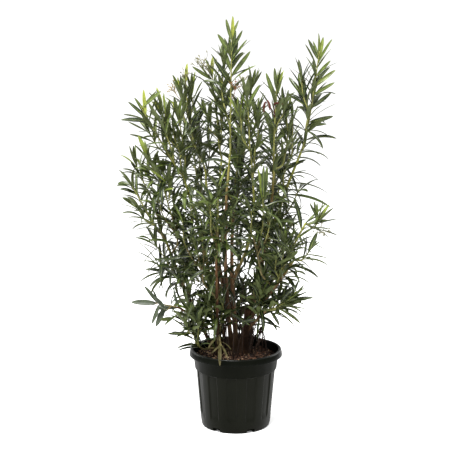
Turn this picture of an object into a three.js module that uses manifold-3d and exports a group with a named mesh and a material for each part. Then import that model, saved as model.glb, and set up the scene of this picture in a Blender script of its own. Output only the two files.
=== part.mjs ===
// Potted oleander: a many-stemmed evergreen shrub, about 1.6 m tall with its
// black nursery pot. Millimetres, +Z up. The origin is the centre of the pot's
// flat underside; the shrub is seen from its best side when looking along +Y.
//
// The pot and the soil are turned solids. The trunk and the canes are tapering
// limbs. The foliage is a set of plumes, one for each leafy shoot or bundle of
// shoots; each limb runs up whole and ends where it enters its own plume.

import * as THREE from 'three';
import { mergeVertices } from 'three/addons/utils/BufferGeometryUtils.js';
import Module from 'manifold-3d';

const wasm = await Module();
wasm.setup();

// ---- Driving dimensions -------------------------------------------------

const GAP = 0.4; // clearance kept between neighbouring solids

const POT = {
  height: 310,
  rimRadius: 184,
  rimDepth: 25, // height of the rolled rim's skirt
  rimStraight: 9, // height of the skirt's upright part, under the part that slopes in
  rimTopRadius: 178,
  rimInnerRadius: 169,
  neckTopRadius: 168,
  neckBottomRadius: 162,
  stepHeight: 232, // ledge where the plain neck meets the fluted body
  stepRise: 4, // height that the ledge's own slope takes
  bodyTopRadius: 156.5,
  bodyBottomRadius: 136,
  cornerRadius: 9,
  wall: 9, // deep enough to back the flutes
  neckWall: 5,
  floor: 14,
  flutes: 12,
  fluteHalfAngle: 7.5, // degrees from a flute's middle to its edge
  fluteEdge: 1, // degrees that the sloping edge takes either way
  fluteDepth: 4,
  fluteFoot: 44, // height where the flutes run out
  fluteRunOut: 16, // height that a flute takes to reach its depth
  fluteEnd: 5, // how far under the ledge the flutes end
  fluteTurn: -6.6, // degrees from +X to a flute's middle
  notches: 6, // drainage notches under the bottom edge
  notchWidth: 32,
  notchHeight: 12,
  notchDepth: 25,
  notchTurn: -4.5, // degrees from +X to a notch's middle
};

const SOIL_TOP = 285;

const LIMB_SIDES = 6;
const LIMB_ROW_LENGTH = 160; // length of one straight stretch of a limb
const FLARE_HEIGHT = 45; // how far the root flare fades up a stem
const FLARE_SWELL = 0.32;
const FLARE_RATE = 2; // how many times over the flare fades within its height

const PLUME_SIDES = 8;
const PLUME_ROWS = [0, 0.08, 0.25, 0.48, 0.72, 0.92, 1]; // fractions of its axis
const PLUME_RIDGE = 0.18; // how strongly a plume bulges and dips round its girth
const PLUME_SWELL = 0.12; // and along its axis
const PLUME_WAVES = 9; // radians of that swell from root to tip
const PLUME_TWIST = 2; // radians that the ridges turn from root to tip
const PLUME_EARLY = 0.78; // under 1, the widest place is nearer the root
const PLUME_BLUNT = 0.7; // under 1, the ends are blunter
const PLUME_RIDGES = 3;
const PLUME_TURN = 2.4; // radians between one plume's ridges and the next one's

// Limbs. from and to are the ends of the limb's axis, bow is how far the middle
// of the axis stands off the straight line, radii are at the two ends. A limb
// with no parent stands in the soil. plume is the foliage that it ends in.
const LIMBS = [
  { name: 'trunk', from: [32, 32], to: [52, 14, 452], bow: [-3, 2, 0], radii: [22, 17] },
  { name: 'cane_tall_right', parent: 'trunk', from: [44, 16, 405], to: [266, 30, 1120],
    bow: [-20, -2, 0], radii: [11, 5.5], plume: 'foliage_tall_right' },
  { name: 'cane_right', parent: 'cane_tall_right', from: [80, 14, 575], to: [146, -76, 1070],
    bow: [14, -10, 0], radii: [9, 5], plume: 'foliage_right_inner_top' },
  { name: 'cane_centre_tall', from: [-14, 50], to: [-20, 0, 1110],
    bow: [-25, -18, 0], radii: [10, 5], plume: 'foliage_top' },
  { name: 'cane_centre_back', from: [8, 36], to: [4, 112, 1010],
    bow: [-22, 0, 0], radii: [11, 5], plume: 'foliage_back_top' },
  { name: 'cane_centre_front', parent: 'cane_centre_back', from: [-14, 65, 560], to: [62, -100, 1020],
    bow: [40, 0, 0], radii: [7.5, 4.5], plume: 'foliage_centre_top' },
  { name: 'cane_left', from: [-58, 30], to: [-214, -72, 1045],
    bow: [22, 6, 0], radii: [8.5, 5], plume: 'foliage_left_top' },
  { name: 'cane_left_back', from: [-38, 78], to: [-48, 120, 1100],
    bow: [-34, 0, 0], radii: [8, 4.5], plume: 'foliage_left_spire' },
  { name: 'bough_left_back', parent: 'cane_left_back', from: [-76, 98, 700], to: [-125, 122, 1060],
    bow: [-8, 4, 0], radii: [7, 4], plume: 'foliage_left_back_spire' },
  { name: 'cane_far_left', from: [-84, 24], to: [-282, -14, 770],
    bow: [-8, -2, 0], radii: [8.5, 5], plume: 'foliage_far_left_upper' },
  { name: 'bough_far_left_low', parent: 'cane_far_left', from: [-118, 16, 400], to: [-232, -66, 492],
    bow: [4, -4, 6], radii: [6, 4], plume: 'foliage_low_left' },
  { name: 'cane_right_front', parent: 'trunk', from: [50, 8, 425], to: [236, -118, 715],
    bow: [6, -6, -4], radii: [9, 5], plume: 'foliage_right_front' },
  { name: 'bough_right_out', parent: 'cane_right_front', from: [158, -66, 590], to: [284, -88, 860],
    bow: [-6, 4, 0], radii: [6, 4], plume: 'foliage_right_out' },
  { name: 'bough_low_right', parent: 'trunk', from: [40, 20, 372], to: [140, -72, 502],
    bow: [0, -4, 4], radii: [7, 5], plume: 'foliage_low_right' },
  { name: 'cane_back_right', from: [52, 84], to: [150, 226, 860],
    bow: [-8, -10, 0], radii: [8.5, 5], plume: 'foliage_back_right' },
  { name: 'cane_back_left', from: [-12, 100], to: [-120, 236, 840],
    bow: [10, -12, 0], radii: [8.5, 5], plume: 'foliage_back_left' },
  { name: 'cane_front_left', from: [-72, -14], to: [-78, -180, 760],
    bow: [2, 14, 0], radii: [7, 4.5], plume: 'foliage_front_left' },
];

// Plumes of foliage, the outermost shoots first. root and tip are the ends of
// the plume's axis, bow as for a limb, girth is its mean radius at the widest.
const PLUMES = [
  { name: 'foliage_top', root: [-22, 0, 1060], tip: [-14, 0, 1609], bow: [-2, 0, 0], girth: 72 },
  { name: 'foliage_tall_right', root: [258, 30, 1075], tip: [326, 30, 1542], bow: [4, 0, 0], girth: 72 },
  { name: 'foliage_tall_right_side', root: [278, 10, 1190], tip: [254, -14, 1450],
    bow: [-6, -8, 0], girth: 42 },
  { name: 'foliage_right_inner_top', root: [143, -74, 1020], tip: [156, -86, 1412],
    bow: [-4, 0, 0], girth: 62 },
  { name: 'foliage_right_inner_spire', root: [170, -50, 1010], tip: [190, -46, 1302],
    bow: [2, 0, 0], girth: 46 },
  { name: 'foliage_back_top', root: [3, 110, 960], tip: [78, 124, 1400], bow: [-4, 4, 0], girth: 70 },
  { name: 'foliage_centre_top', root: [63, -96, 965], tip: [28, -138, 1380], bow: [6, -4, 0], girth: 70 },
  { name: 'foliage_left_spire', root: [-46, 118, 1040], tip: [-96, 130, 1444], bow: [-8, 4, 0], girth: 76 },
  { name: 'foliage_left_back_spire', root: [-118, 120, 1000], tip: [-198, 132, 1426],
    bow: [-20, 4, 0], girth: 72 },
  { name: 'foliage_left_top', root: [-196, -68, 990], tip: [-392, -98, 1336], bow: [-6, -6, 2], girth: 76 },
  { name: 'foliage_left_second', root: [-226, -50, 1040], tip: [-292, -46, 1340],
    bow: [-8, 0, 0], girth: 54 },
  { name: 'foliage_left_third', root: [-190, -30, 960], tip: [-242, -20, 1290], bow: [0, 4, 0], girth: 60 },
  { name: 'foliage_far_left_tip', root: [-300, -16, 780], tip: [-436, -32, 1030],
    bow: [-2, 0, 0], girth: 50 },
  { name: 'foliage_far_left_upper', root: [-274, -8, 730], tip: [-412, 34, 1100],
    bow: [0, 4, 0], girth: 64 },
  { name: 'foliage_far_left_inner', root: [-226, -66, 760], tip: [-345, -112, 1176],
    bow: [8, -4, 0], girth: 64 },
  { name: 'foliage_right_shoulder', root: [200, 26, 850], tip: [316, 8, 1110], bow: [4, -6, 0], girth: 80 },
  { name: 'foliage_right_spire', root: [204, 10, 930], tip: [222, -24, 1300], bow: [-4, -6, 0], girth: 56 },
  { name: 'foliage_right_out', root: [268, -86, 790], tip: [362, -78, 916], bow: [8, 0, -8], girth: 54 },
  { name: 'foliage_right_front', root: [222, -112, 670], tip: [326, -130, 780],
    bow: [4, 0, -4], girth: 60 },
  { name: 'foliage_right_fan', root: [160, -112, 610], tip: [200, -164, 830], bow: [4, -6, 0], girth: 66 },
  { name: 'foliage_low_right', root: [118, -60, 462], tip: [280, -104, 560], bow: [8, -6, 12], girth: 70 },
  { name: 'foliage_low_left', root: [-222, -62, 486], tip: [-406, -82, 524], bow: [0, -4, 6], girth: 44 },
  { name: 'foliage_low_left_hanging', root: [-214, -50, 470], tip: [-312, -84, 420],
    bow: [-6, -4, -8], girth: 40 },
  { name: 'foliage_left_flank', root: [-176, -30, 530], tip: [-330, -36, 800],
    bow: [-16, -4, 0], girth: 88 },
  { name: 'foliage_left_skirt', root: [-136, -30, 318], tip: [-170, -66, 560],
    bow: [-22, -12, 0], girth: 70 },
  { name: 'foliage_left_low', root: [-62, 4, 345], tip: [-100, -62, 640], bow: [-6, -10, 0], girth: 62 },
  { name: 'foliage_right_low', root: [84, -24, 425], tip: [106, -76, 690], bow: [6, -6, 0], girth: 52 },
  { name: 'foliage_front_rim', root: [-64, -78, 352], tip: [-44, -196, 296], bow: [0, -10, 26], girth: 26 },
  { name: 'foliage_front_left', root: [-70, -160, 700], tip: [-66, -216, 1040],
    bow: [0, -14, 0], girth: 96 },
  { name: 'foliage_front_right', root: [92, -120, 650], tip: [98, -186, 1010],
    bow: [4, -16, 0], girth: 96 },
  { name: 'foliage_left_inner', root: [-128, -66, 600], tip: [-190, -120, 960],
    bow: [0, -12, 0], girth: 92 },
  { name: 'foliage_right_inner', root: [140, 40, 640], tip: [190, -16, 960], bow: [6, 0, 0], girth: 84 },
  { name: 'foliage_back_right', root: [146, 210, 800], tip: [156, 250, 1270], bow: [14, 34, 0], girth: 96 },
  { name: 'foliage_back_left', root: [-118, 222, 780], tip: [-150, 262, 1240],
    bow: [-14, 34, 0], girth: 100 },
  { name: 'foliage_back_middle', root: [10, 160, 620], tip: [10, 300, 1130], bow: [0, 44, 0], girth: 100 },
  { name: 'foliage_back_right_low', root: [110, 150, 470], tip: [232, 236, 810],
    bow: [8, 30, 0], girth: 88 },
  { name: 'foliage_back_left_low', root: [-90, 150, 470], tip: [-226, 220, 810],
    bow: [-8, 30, 0], girth: 88 },
  { name: 'foliage_back_skirt', root: [0, 120, 350], tip: [-4, 270, 600], bow: [0, 24, 0], girth: 88 },
  { name: 'foliage_core', root: [-10, 60, 860], tip: [20, 40, 1160], bow: [0, 10, 0], girth: 76 },
];

// ---- Materials ----------------------------------------------------------

const material = (color, roughness) => new THREE.MeshStandardMaterial({ color, roughness, metalness: 0 });

const MATERIALS = {
  pot: () => material(0x1b1d1b, 0.45),
  soil: () => material(0x4a3022, 0.95),
  stem: () => material(0x5b4231, 0.85), // stands in the soil
  branch: () => material(0x6a5a3c, 0.8), // grows from another limb
  foliage: () => material(0x56663a, 0.6),
};

// ---- Booleans -----------------------------------------------------------

function toSolid(geometry) {
  const bare = geometry.clone();
  bare.deleteAttribute('normal');
  bare.deleteAttribute('uv');
  const merged = mergeVertices(bare, 1e-4);
  return new wasm.Manifold(new wasm.Mesh({
    numProp: 3,
    vertProperties: new Float32Array(merged.attributes.position.array),
    triVerts: new Uint32Array(merged.index.array),
  }));
}

function toGeometry(solid) {
  const { numProp, vertProperties, triVerts } = solid.getMesh();
  const positions = new Float32Array(triVerts.length * 3);
  triVerts.forEach((vertex, corner) => {
    for (let axis = 0; axis < 3; axis += 1) {
      positions[corner * 3 + axis] = vertProperties[vertex * numProp + axis];
    }
  });
  const geometry = new THREE.BufferGeometry();
  geometry.setAttribute('position', new THREE.BufferAttribute(positions, 3));
  geometry.computeVertexNormals();
  return geometry;
}

// Cuts every tool out of the solid and keeps the largest piece that is left.
function carve(solid, tools) {
  const cut = tools.reduce((rest, tool) => rest.subtract(tool), solid);
  const pieces = cut.decompose();
  return pieces.reduce((best, piece) => (piece.volume() > best.volume() ? piece : best));
}

// ---- Lofted shapes ------------------------------------------------------

function axisCurve(from, to, bow) {
  const start = new THREE.Vector3(...from);
  const end = new THREE.Vector3(...to);
  const middle = start.clone().lerp(end, 0.5).addScaledVector(new THREE.Vector3(...bow), 2);
  return new THREE.QuadraticBezierCurve3(start, middle, end);
}

// A closed skin over rings of points, with a fan on the point at each end.
function skin(rings, startPoint, endPoint) {
  const sides = rings[0].length;
  const points = [startPoint, ...rings.flat(), endPoint];
  const last = points.length - 1;
  const at = (ring, side) => 1 + ring * sides + (side % sides);
  const index = [];
  for (let side = 0; side < sides; side += 1) {
    index.push(0, at(0, side + 1), at(0, side));
    for (let ring = 0; ring < rings.length - 1; ring += 1) {
      index.push(at(ring, side), at(ring, side + 1), at(ring + 1, side + 1));
      index.push(at(ring, side), at(ring + 1, side + 1), at(ring + 1, side));
    }
    index.push(last, at(rings.length - 1, side), at(rings.length - 1, side + 1));
  }
  const geometry = new THREE.BufferGeometry().setFromPoints(points);
  geometry.setIndex(index);
  return geometry;
}

// A ring of points round the axis; radius is a function of the angle.
function ring(centre, direction, sides, radius) {
  const across = new THREE.Vector3(1, 0, 0).addScaledVector(direction, -direction.x).normalize();
  const along = new THREE.Vector3().crossVectors(direction, across);
  return Array.from({ length: sides }, (_, side) => {
    const angle = (2 * Math.PI * side) / sides;
    return centre.clone()
      .addScaledVector(across, radius(angle) * Math.cos(angle))
      .addScaledVector(along, radius(angle) * Math.sin(angle));
  });
}

// A tapering limb with flat ends. One that stands in the soil has its foot cut
// level and swells towards it.
function limb({ from, to, bow, radii }, grow = 0) {
  const standing = from.length === 2;
  const foot = standing ? [...from, SOIL_TOP + GAP] : from;
  const curve = axisCurve(foot, to, bow);
  const length = curve.getLength();
  const rows = Math.max(3, Math.round(length / LIMB_ROW_LENGTH));
  const fractions = Array.from({ length: rows + 1 }, (_, row) => row / rows);
  if (standing) fractions.splice(1, 0, FLARE_HEIGHT / length);
  const rings = fractions.map((t) => {
    const level = standing && t === 0;
    const direction = level ? new THREE.Vector3(0, 0, 1) : curve.getTangentAt(t);
    const flare = standing ? 1 + FLARE_SWELL * Math.exp((-FLARE_RATE * t * length) / FLARE_HEIGHT) : 1;
    const radius = THREE.MathUtils.lerp(radii[0], radii[1], t) * flare + grow;
    return ring(curve.getPointAt(t), direction, LIMB_SIDES, () => radius);
  });
  return toSolid(skin(rings, curve.getPointAt(0), curve.getPointAt(1)));
}

// How full a plume is at a fraction of its axis: quick to fill, slow to taper.
const fullness = (t) => Math.sin(Math.PI * t ** PLUME_EARLY) ** PLUME_BLUNT;

function plume({ root, tip, bow, girth }, turn, grow = 0) {
  const curve = axisCurve(root, tip, bow);
  const inner = PLUME_ROWS.slice(1, -1);
  const rings = inner.map((t) => {
    const mean = girth * fullness(t);
    const radius = (angle) => {
      const ridge = PLUME_RIDGE * Math.sin(PLUME_RIDGES * angle + turn + PLUME_TWIST * t);
      const swell = PLUME_SWELL * Math.sin(2 * angle - turn + PLUME_WAVES * t);
      return mean * (1 + ridge + swell) + grow;
    };
    return ring(curve.getPointAt(t), curve.getTangentAt(t), PLUME_SIDES, radius);
  });
  const overrun = (t, sign) => curve.getPointAt(t).addScaledVector(curve.getTangentAt(t), sign * 2 * grow);
  return toSolid(skin(rings, overrun(0, -1), overrun(1, 1)));
}

// ---- Pot and soil -------------------------------------------------------

const { degToRad, mapLinear } = THREE.MathUtils;

// Outer radius of the pot's tapering body at a height.
const bodyRadius = (height) => mapLinear(height, 0, POT.stepHeight, POT.bodyBottomRadius, POT.bodyTopRadius);

// Directions of the pot's upright edges: two on either side of every flute.
const POT_COLUMNS = Array.from({ length: POT.flutes }, (_, flute) => {
  const middle = POT.fluteTurn + (360 * flute) / POT.flutes;
  const { fluteHalfAngle: half, fluteEdge: edge } = POT;
  return [
    { angle: degToRad(middle - half - edge), sunk: 0 },
    { angle: degToRad(middle - half + edge), sunk: 1 },
    { angle: degToRad(middle + half - edge), sunk: 1 },
    { angle: degToRad(middle + half + edge), sunk: 0 },
  ];
}).flat();

// A turned solid from an outline of [radius, height, flute depth] that starts
// and ends on the axis.
function turned(outline) {
  const row = ([radius, height, depth = 0]) => POT_COLUMNS.map(({ angle, sunk }) => {
    const reach = radius - depth * sunk;
    return new THREE.Vector3(reach * Math.cos(angle), reach * Math.sin(angle), height);
  });
  const rings = outline.slice(1, -1).map(row);
  const end = ([, height]) => new THREE.Vector3(0, 0, height);
  return toSolid(skin(rings, end(outline[0]), end(outline[outline.length - 1])));
}

function potOutside() {
  const skirt = POT.height - POT.rimDepth;
  const corner = POT.cornerRadius;
  const fluteStart = POT.fluteFoot + POT.fluteRunOut;
  const fluteStop = POT.stepHeight - POT.fluteEnd;
  return [
    [0, 0],
    [bodyRadius(0) - corner, 0],
    [bodyRadius(corner), corner],
    [bodyRadius(POT.fluteFoot), POT.fluteFoot],
    [bodyRadius(fluteStart), fluteStart, POT.fluteDepth],
    [bodyRadius(fluteStop), fluteStop, POT.fluteDepth],
    [bodyRadius(POT.stepHeight), POT.stepHeight],
    [POT.neckBottomRadius, POT.stepHeight + POT.stepRise],
    [POT.neckTopRadius, skirt],
    [POT.rimRadius, skirt],
    [POT.rimRadius, skirt + POT.rimStraight],
    [POT.rimTopRadius, POT.height],
  ];
}

function makePot() {
  const shell = turned([
    ...potOutside(),
    [POT.rimInnerRadius, POT.height],
    [POT.neckBottomRadius - POT.neckWall, POT.stepHeight + POT.stepRise],
    [bodyRadius(POT.stepHeight) - POT.wall, POT.stepHeight - POT.stepRise],
    [bodyRadius(POT.floor) - POT.wall, POT.floor],
    [0, POT.floor],
  ]);
  const notches = Array.from({ length: POT.notches }, (_, notch) => {
    const { notchDepth: depth, notchWidth: width, notchHeight: height } = POT;
    const box = new THREE.BoxGeometry(depth * 2, width, height * 2);
    box.translate(bodyRadius(0), 0, 0);
    box.rotateZ(degToRad(POT.notchTurn + (360 * notch) / POT.notches));
    return toSolid(box);
  });
  return carve(shell, notches);
}

// Potting soil and bark mulch, filling the pot from its floor.
function makeSoil() {
  const neckInnerRadius = POT.neckBottomRadius - POT.neckWall;
  const topRadius = mapLinear(SOIL_TOP, POT.stepHeight, POT.height, neckInnerRadius, POT.rimInnerRadius);
  return turned([
    [0, POT.floor + GAP],
    [bodyRadius(POT.floor) - POT.wall - 2 * GAP, POT.floor + GAP],
    [bodyRadius(POT.stepHeight) - POT.wall - 2 * GAP, POT.stepHeight - POT.stepRise],
    [neckInnerRadius - 2 * GAP, POT.stepHeight + POT.stepRise + 1],
    [topRadius - 3 * GAP, SOIL_TOP],
    [0, SOIL_TOP],
  ]);
}

// Everything that foliage must keep clear of below the rim.
function makePotEnvelope() {
  const grown = potOutside().slice(1).map(([radius, height]) => [radius + GAP, height]);
  return turned([[0, -GAP], ...grown, [POT.rimInnerRadius, POT.height + GAP], [0, SOIL_TOP + GAP]]);
}

// ---- Assembly -----------------------------------------------------------

const plumeIndex = new Map(PLUMES.map((entry, index) => [entry.name, index]));
const plumeSolid = (index, grow) => plume(PLUMES[index], index * PLUME_TURN, grow);
const grownLimbs = LIMBS.map((entry) => limb(entry, GAP));
const grownPlumes = PLUMES.map((_, index) => plumeSolid(index, GAP));
const envelope = makePotEnvelope();

// Each limb is cut round the ones before it and ends at its own plume.
function makeLimb(entry, index) {
  const ending = entry.plume ? [grownPlumes[plumeIndex.get(entry.plume)]] : [];
  return carve(limb(entry), [...grownLimbs.slice(0, index), ...ending]);
}

// Each plume is cut round every limb but the one that feeds it, and round the
// plumes before it.
function makePlume(entry, index) {
  const passing = grownLimbs.filter((_, other) => LIMBS[other].plume !== entry.name);
  return carve(plumeSolid(index), [envelope, ...passing, ...grownPlumes.slice(0, index)]);
}

const oleander = new THREE.Group();
oleander.name = 'potted_oleander';

function addPart(name, solid, look) {
  const mesh = new THREE.Mesh(toGeometry(solid), MATERIALS[look]());
  mesh.name = name;
  oleander.add(mesh);
}

addPart('pot', makePot(), 'pot');
addPart('soil', makeSoil(), 'soil');
LIMBS.forEach((entry, index) => {
  addPart(entry.name, makeLimb(entry, index), entry.parent ? 'branch' : 'stem');
});
PLUMES.forEach((entry, index) => addPart(entry.name, makePlume(entry, index), 'foliage'));

export default oleander;
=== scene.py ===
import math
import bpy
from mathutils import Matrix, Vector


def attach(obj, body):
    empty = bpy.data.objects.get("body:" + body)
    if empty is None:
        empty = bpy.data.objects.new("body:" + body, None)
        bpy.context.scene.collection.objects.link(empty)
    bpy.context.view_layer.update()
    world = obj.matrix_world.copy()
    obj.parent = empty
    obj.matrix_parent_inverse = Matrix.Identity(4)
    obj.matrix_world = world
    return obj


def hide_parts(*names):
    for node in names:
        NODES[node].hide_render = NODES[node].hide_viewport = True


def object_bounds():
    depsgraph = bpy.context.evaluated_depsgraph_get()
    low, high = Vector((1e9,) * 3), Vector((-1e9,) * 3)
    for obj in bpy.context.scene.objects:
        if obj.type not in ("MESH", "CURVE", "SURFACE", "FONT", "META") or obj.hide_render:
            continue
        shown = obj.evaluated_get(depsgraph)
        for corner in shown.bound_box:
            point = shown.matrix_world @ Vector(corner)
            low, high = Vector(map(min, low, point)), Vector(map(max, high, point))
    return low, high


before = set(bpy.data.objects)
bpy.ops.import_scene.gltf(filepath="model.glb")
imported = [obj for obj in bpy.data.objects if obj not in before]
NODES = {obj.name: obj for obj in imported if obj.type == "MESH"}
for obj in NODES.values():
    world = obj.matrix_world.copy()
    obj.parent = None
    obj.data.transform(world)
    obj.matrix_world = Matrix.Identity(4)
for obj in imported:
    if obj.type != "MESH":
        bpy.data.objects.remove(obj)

# Looks for the potted oleander. Metres, +Z up, the origin under the middle of the pot.
#
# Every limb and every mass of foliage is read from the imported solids: a limb's centreline and girth
# by slicing it level, a mass's axis and girth by slicing it across. Bark, shoots, leaves and dried
# flower stalks then grow on those by seeded rules.

import zlib

import bpy
import numpy as np
from mathutils import Matrix

CAD_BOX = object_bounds()
UP = np.array([0.0, 0.0, 1.0])
GOLDEN_TURN = math.radians(137.5)


# ---- Small helpers ----

def seeded(name):
    """A random generator that is the same on every run, and another for every name."""
    return np.random.default_rng(zlib.crc32(name.encode()))


def unit(v):
    return v / np.maximum(np.linalg.norm(v, axis=-1, keepdims=True), 1e-12)


def square_to(v, axis):
    """The part of v that is square to axis, made one long."""
    return unit(v - np.sum(v * axis, axis=-1, keepdims=True) * axis)


def smoothstep(x):
    x = np.clip(x, 0.0, 1.0)
    return x * x * (3 - 2 * x)


def arc_lengths(points):
    return np.concatenate([[0.0], np.cumsum(np.linalg.norm(np.diff(points, axis=0), axis=1))])


def resample(points, values, spacing, before=None):
    """A smooth path through points, with a point at about every spacing, and values carried along it.

    before is a point that the path comes from, which sets its direction at the start."""
    lead_in = 2 * points[0] - points[1] if before is None else before
    padded = np.vstack([lead_in, points, 2 * points[-1] - points[-2]])
    s = arc_lengths(points)
    count = max(3, int(round(s[-1] / spacing)) + 1)
    at = np.linspace(0.0, s[-1], count)
    leg = np.clip(np.searchsorted(s, at, side="right") - 1, 0, len(points) - 2)
    t = ((at - s[leg]) / (s[leg + 1] - s[leg]))[:, None]
    p0, p1, p2, p3 = (padded[leg + k] for k in range(4))
    cubic = 2 * p1 + (p2 - p0) * t + (2 * p0 - 5 * p1 + 4 * p2 - p3) * t**2
    cubic = cubic + (3 * (p1 - p2) + p3 - p0) * t**3
    return cubic / 2, np.interp(at, s, values)


def smoothed(points, spacing, before=None):
    """The same for a path that carries no values."""
    return resample(points, np.zeros(len(points)), spacing, before)[0]


def frames_along(points):
    """Tangent and two square directions at every point, carried along without twist."""
    tangents = unit(np.gradient(points, axis=0))
    start = np.array([1.0, 0.0, 0.0]) if abs(tangents[0][0]) < 0.8 else np.array([0.0, 1.0, 0.0])
    across = [square_to(start, tangents[0])]
    for tangent in tangents[1:]:
        across.append(square_to(across[-1], tangent))
    across = np.array(across)
    return tangents, across, np.cross(tangents, across)


# ---- Meshes and pieces ----

def add_piece(name, vertices, faces, materials, face_materials=None, replaces=(), sharp=None):
    """A mesh object from an array of points and a list of face arrays, as a piece of the one body."""
    mesh = bpy.data.meshes.new(name)
    vertices = np.asarray(vertices, dtype=np.float32)
    corners = np.concatenate([np.asarray(block, dtype=np.int32).ravel() for block in faces])
    sizes = np.concatenate([np.full(len(block), np.asarray(block).shape[1]) for block in faces])
    mesh.vertices.add(len(vertices))
    mesh.vertices.foreach_set("co", vertices.ravel())
    mesh.loops.add(len(corners))
    mesh.loops.foreach_set("vertex_index", corners)
    mesh.polygons.add(len(sizes))
    mesh.polygons.foreach_set("loop_start", np.concatenate([[0], np.cumsum(sizes)[:-1]]).astype(np.int32))
    if face_materials is not None:
        mesh.polygons.foreach_set("material_index", np.concatenate(face_materials).astype(np.int32))
    mesh.polygons.foreach_set("use_smooth", np.ones(len(sizes), dtype=bool))
    mesh.update(calc_edges=True)
    mesh.validate()
    if sharp is not None:
        mesh.set_sharp_from_angle(angle=math.radians(sharp))
    for material in materials:
        mesh.materials.append(material)
    piece = bpy.data.objects.new(name, mesh)
    bpy.context.scene.collection.objects.link(piece)
    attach(piece, "root")
    if replaces:
        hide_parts(*replaces)


def rings_to_faces(rings, sides, first=0):
    """Quads between rings of points that follow each other, all the way round."""
    ring = np.arange(rings - 1)[:, None] * sides
    side = np.arange(sides)[None, :]
    after = (side + 1) % sides
    quads = np.stack([ring + side, ring + after, ring + sides + after, ring + sides + side], axis=-1)
    return quads.reshape(-1, 4) + first


def fan(middle, first, sides, flip=False):
    """Triangles from a middle point to the ring of points that starts at first."""
    side = np.arange(sides)
    after = (side + 1) % sides
    ring = (after, side) if flip else (side, after)
    return np.stack([np.full(sides, middle), first + ring[0], first + ring[1]], axis=-1)


def closed_skin(rings, ends):
    """Points, quads and end triangles of a skin of rings, closed at the middle points of its ends."""
    count, sides = rings.shape[:2]
    low = count * sides
    caps = np.concatenate([fan(low, 0, sides, flip=True), fan(low + 1, low - sides, sides)])
    return np.vstack([rings.reshape(-1, 3), ends]), rings_to_faces(count, sides), caps


def ring_angles(sides):
    return np.linspace(0, 2 * np.pi, sides, endpoint=False)


def tube(points, radii, sides, relief=None):
    """Points and faces of a closed tube. relief gives each point of the skin its share of the radius."""
    _, across, along = frames_along(points)
    angle = ring_angles(sides)
    reach = np.repeat(radii[:, None], sides, axis=1)
    if relief is not None:
        reach = reach * relief(arc_lengths(points)[:, None], angle[None, :])
    skin = points[:, None] + reach[..., None] * (
        across[:, None] * np.cos(angle)[None, :, None] + along[:, None] * np.sin(angle)[None, :, None]
    )
    return closed_skin(skin, [points[0], points[-1]])


def tapered(points, start, end, sides):
    """A closed tube that goes evenly from one radius to another."""
    return tube(points, np.linspace(start, end, len(points)), sides)


def join(parts):
    """Joins (vertices, quads, triangles) parts into one set."""
    vertices, quads, triangles, first = [], [], [], 0
    for points, four, three in parts:
        vertices.append(points)
        quads.append(np.asarray(four).reshape(-1, 4) + first)
        triangles.append(np.asarray(three).reshape(-1, 3) + first)
        first += len(points)
    return np.vstack(vertices), np.vstack(quads), np.vstack(triangles)


def add_joined(name, parts, material):
    vertices, quads, caps = join(parts)
    add_piece(name, vertices, [quads, caps], [material])


# ---- Materials ----

def new_material(name):
    material = bpy.data.materials.new(name)
    material.use_nodes = True
    tree = material.node_tree
    return material, tree, tree.nodes["Principled BSDF"]


def feed(tree, node, inputs):
    """Sets a node's inputs: another node's output is linked, and anything else is a value."""
    for key, value in inputs.items():
        if isinstance(value, bpy.types.NodeSocket):
            tree.links.new(value, node.inputs[key])
        else:
            node.inputs[key].default_value = value


def outputs_of(tree, kind, inputs):
    """The outputs of a new node that is fed with inputs."""
    node = tree.nodes.new("ShaderNode" + kind)
    feed(tree, node, inputs)
    return node.outputs


def noise(tree, scale, detail=3.0, roughness=0.55, stretch=None):
    """A noise texture in the object's own coordinates, stretched along the axes if asked."""
    place = outputs_of(tree, "TexCoord", {})["Object"]
    if stretch is not None:
        place = outputs_of(tree, "Mapping", {"Vector": place, "Scale": stretch})["Vector"]
    inputs = {"Vector": place, "Scale": scale, "Detail": detail, "Roughness": roughness}
    return outputs_of(tree, "TexNoise", inputs)["Fac"]


def ramp(tree, factor, stops):
    """A colour ramp; stops are (place, colour or grey)."""
    node = tree.nodes.new("ShaderNodeValToRGB")
    elements = node.color_ramp.elements
    while len(elements) < len(stops):
        elements.new(0.5)
    for element, (place, colour) in zip(elements, stops):
        element.position = place
        element.color = (*colour, 1.0) if np.ndim(colour) else (colour, colour, colour, 1.0)
    feed(tree, node, {"Fac": factor})
    return node.outputs["Color"]


def bump(tree, height, strength, distance):
    inputs = {"Height": height, "Strength": strength, "Distance": distance}
    return outputs_of(tree, "Bump", inputs)["Normal"]


def shade(colour, factor):
    return tuple(min(1.0, c * factor) for c in colour)


def mottled(tree, factor, colour, vary, bright_from=0.7):
    """A colour that varies by a share to both sides of its own."""
    return ramp(tree, factor, [(0.3, shade(colour, 1 - vary)), (bright_from, shade(colour, 1 + vary))])


def leaf_material(name, colour, roughness, gloss=0.27, vary=0.35):
    """A leathery blade: its own green, mottled a little, with an uneven satin gloss."""
    material, tree, shader = new_material(name)
    feed(tree, shader, {
        "Base Color": mottled(tree, noise(tree, 55.0, detail=4.0), colour, vary, bright_from=0.72),
        "Roughness": ramp(tree, noise(tree, 130.0), [(0.3, roughness - 0.06), (0.7, roughness + 0.08)]),
        "Specular IOR Level": gloss,
        "Normal": bump(tree, noise(tree, 420.0, detail=2.0), 0.12, 0.0006),
    })
    return material


MIX_FIRST, MIX_SECOND, MIX_RESULT = 6, 7, 2  # the colour sockets of a mix node


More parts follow.
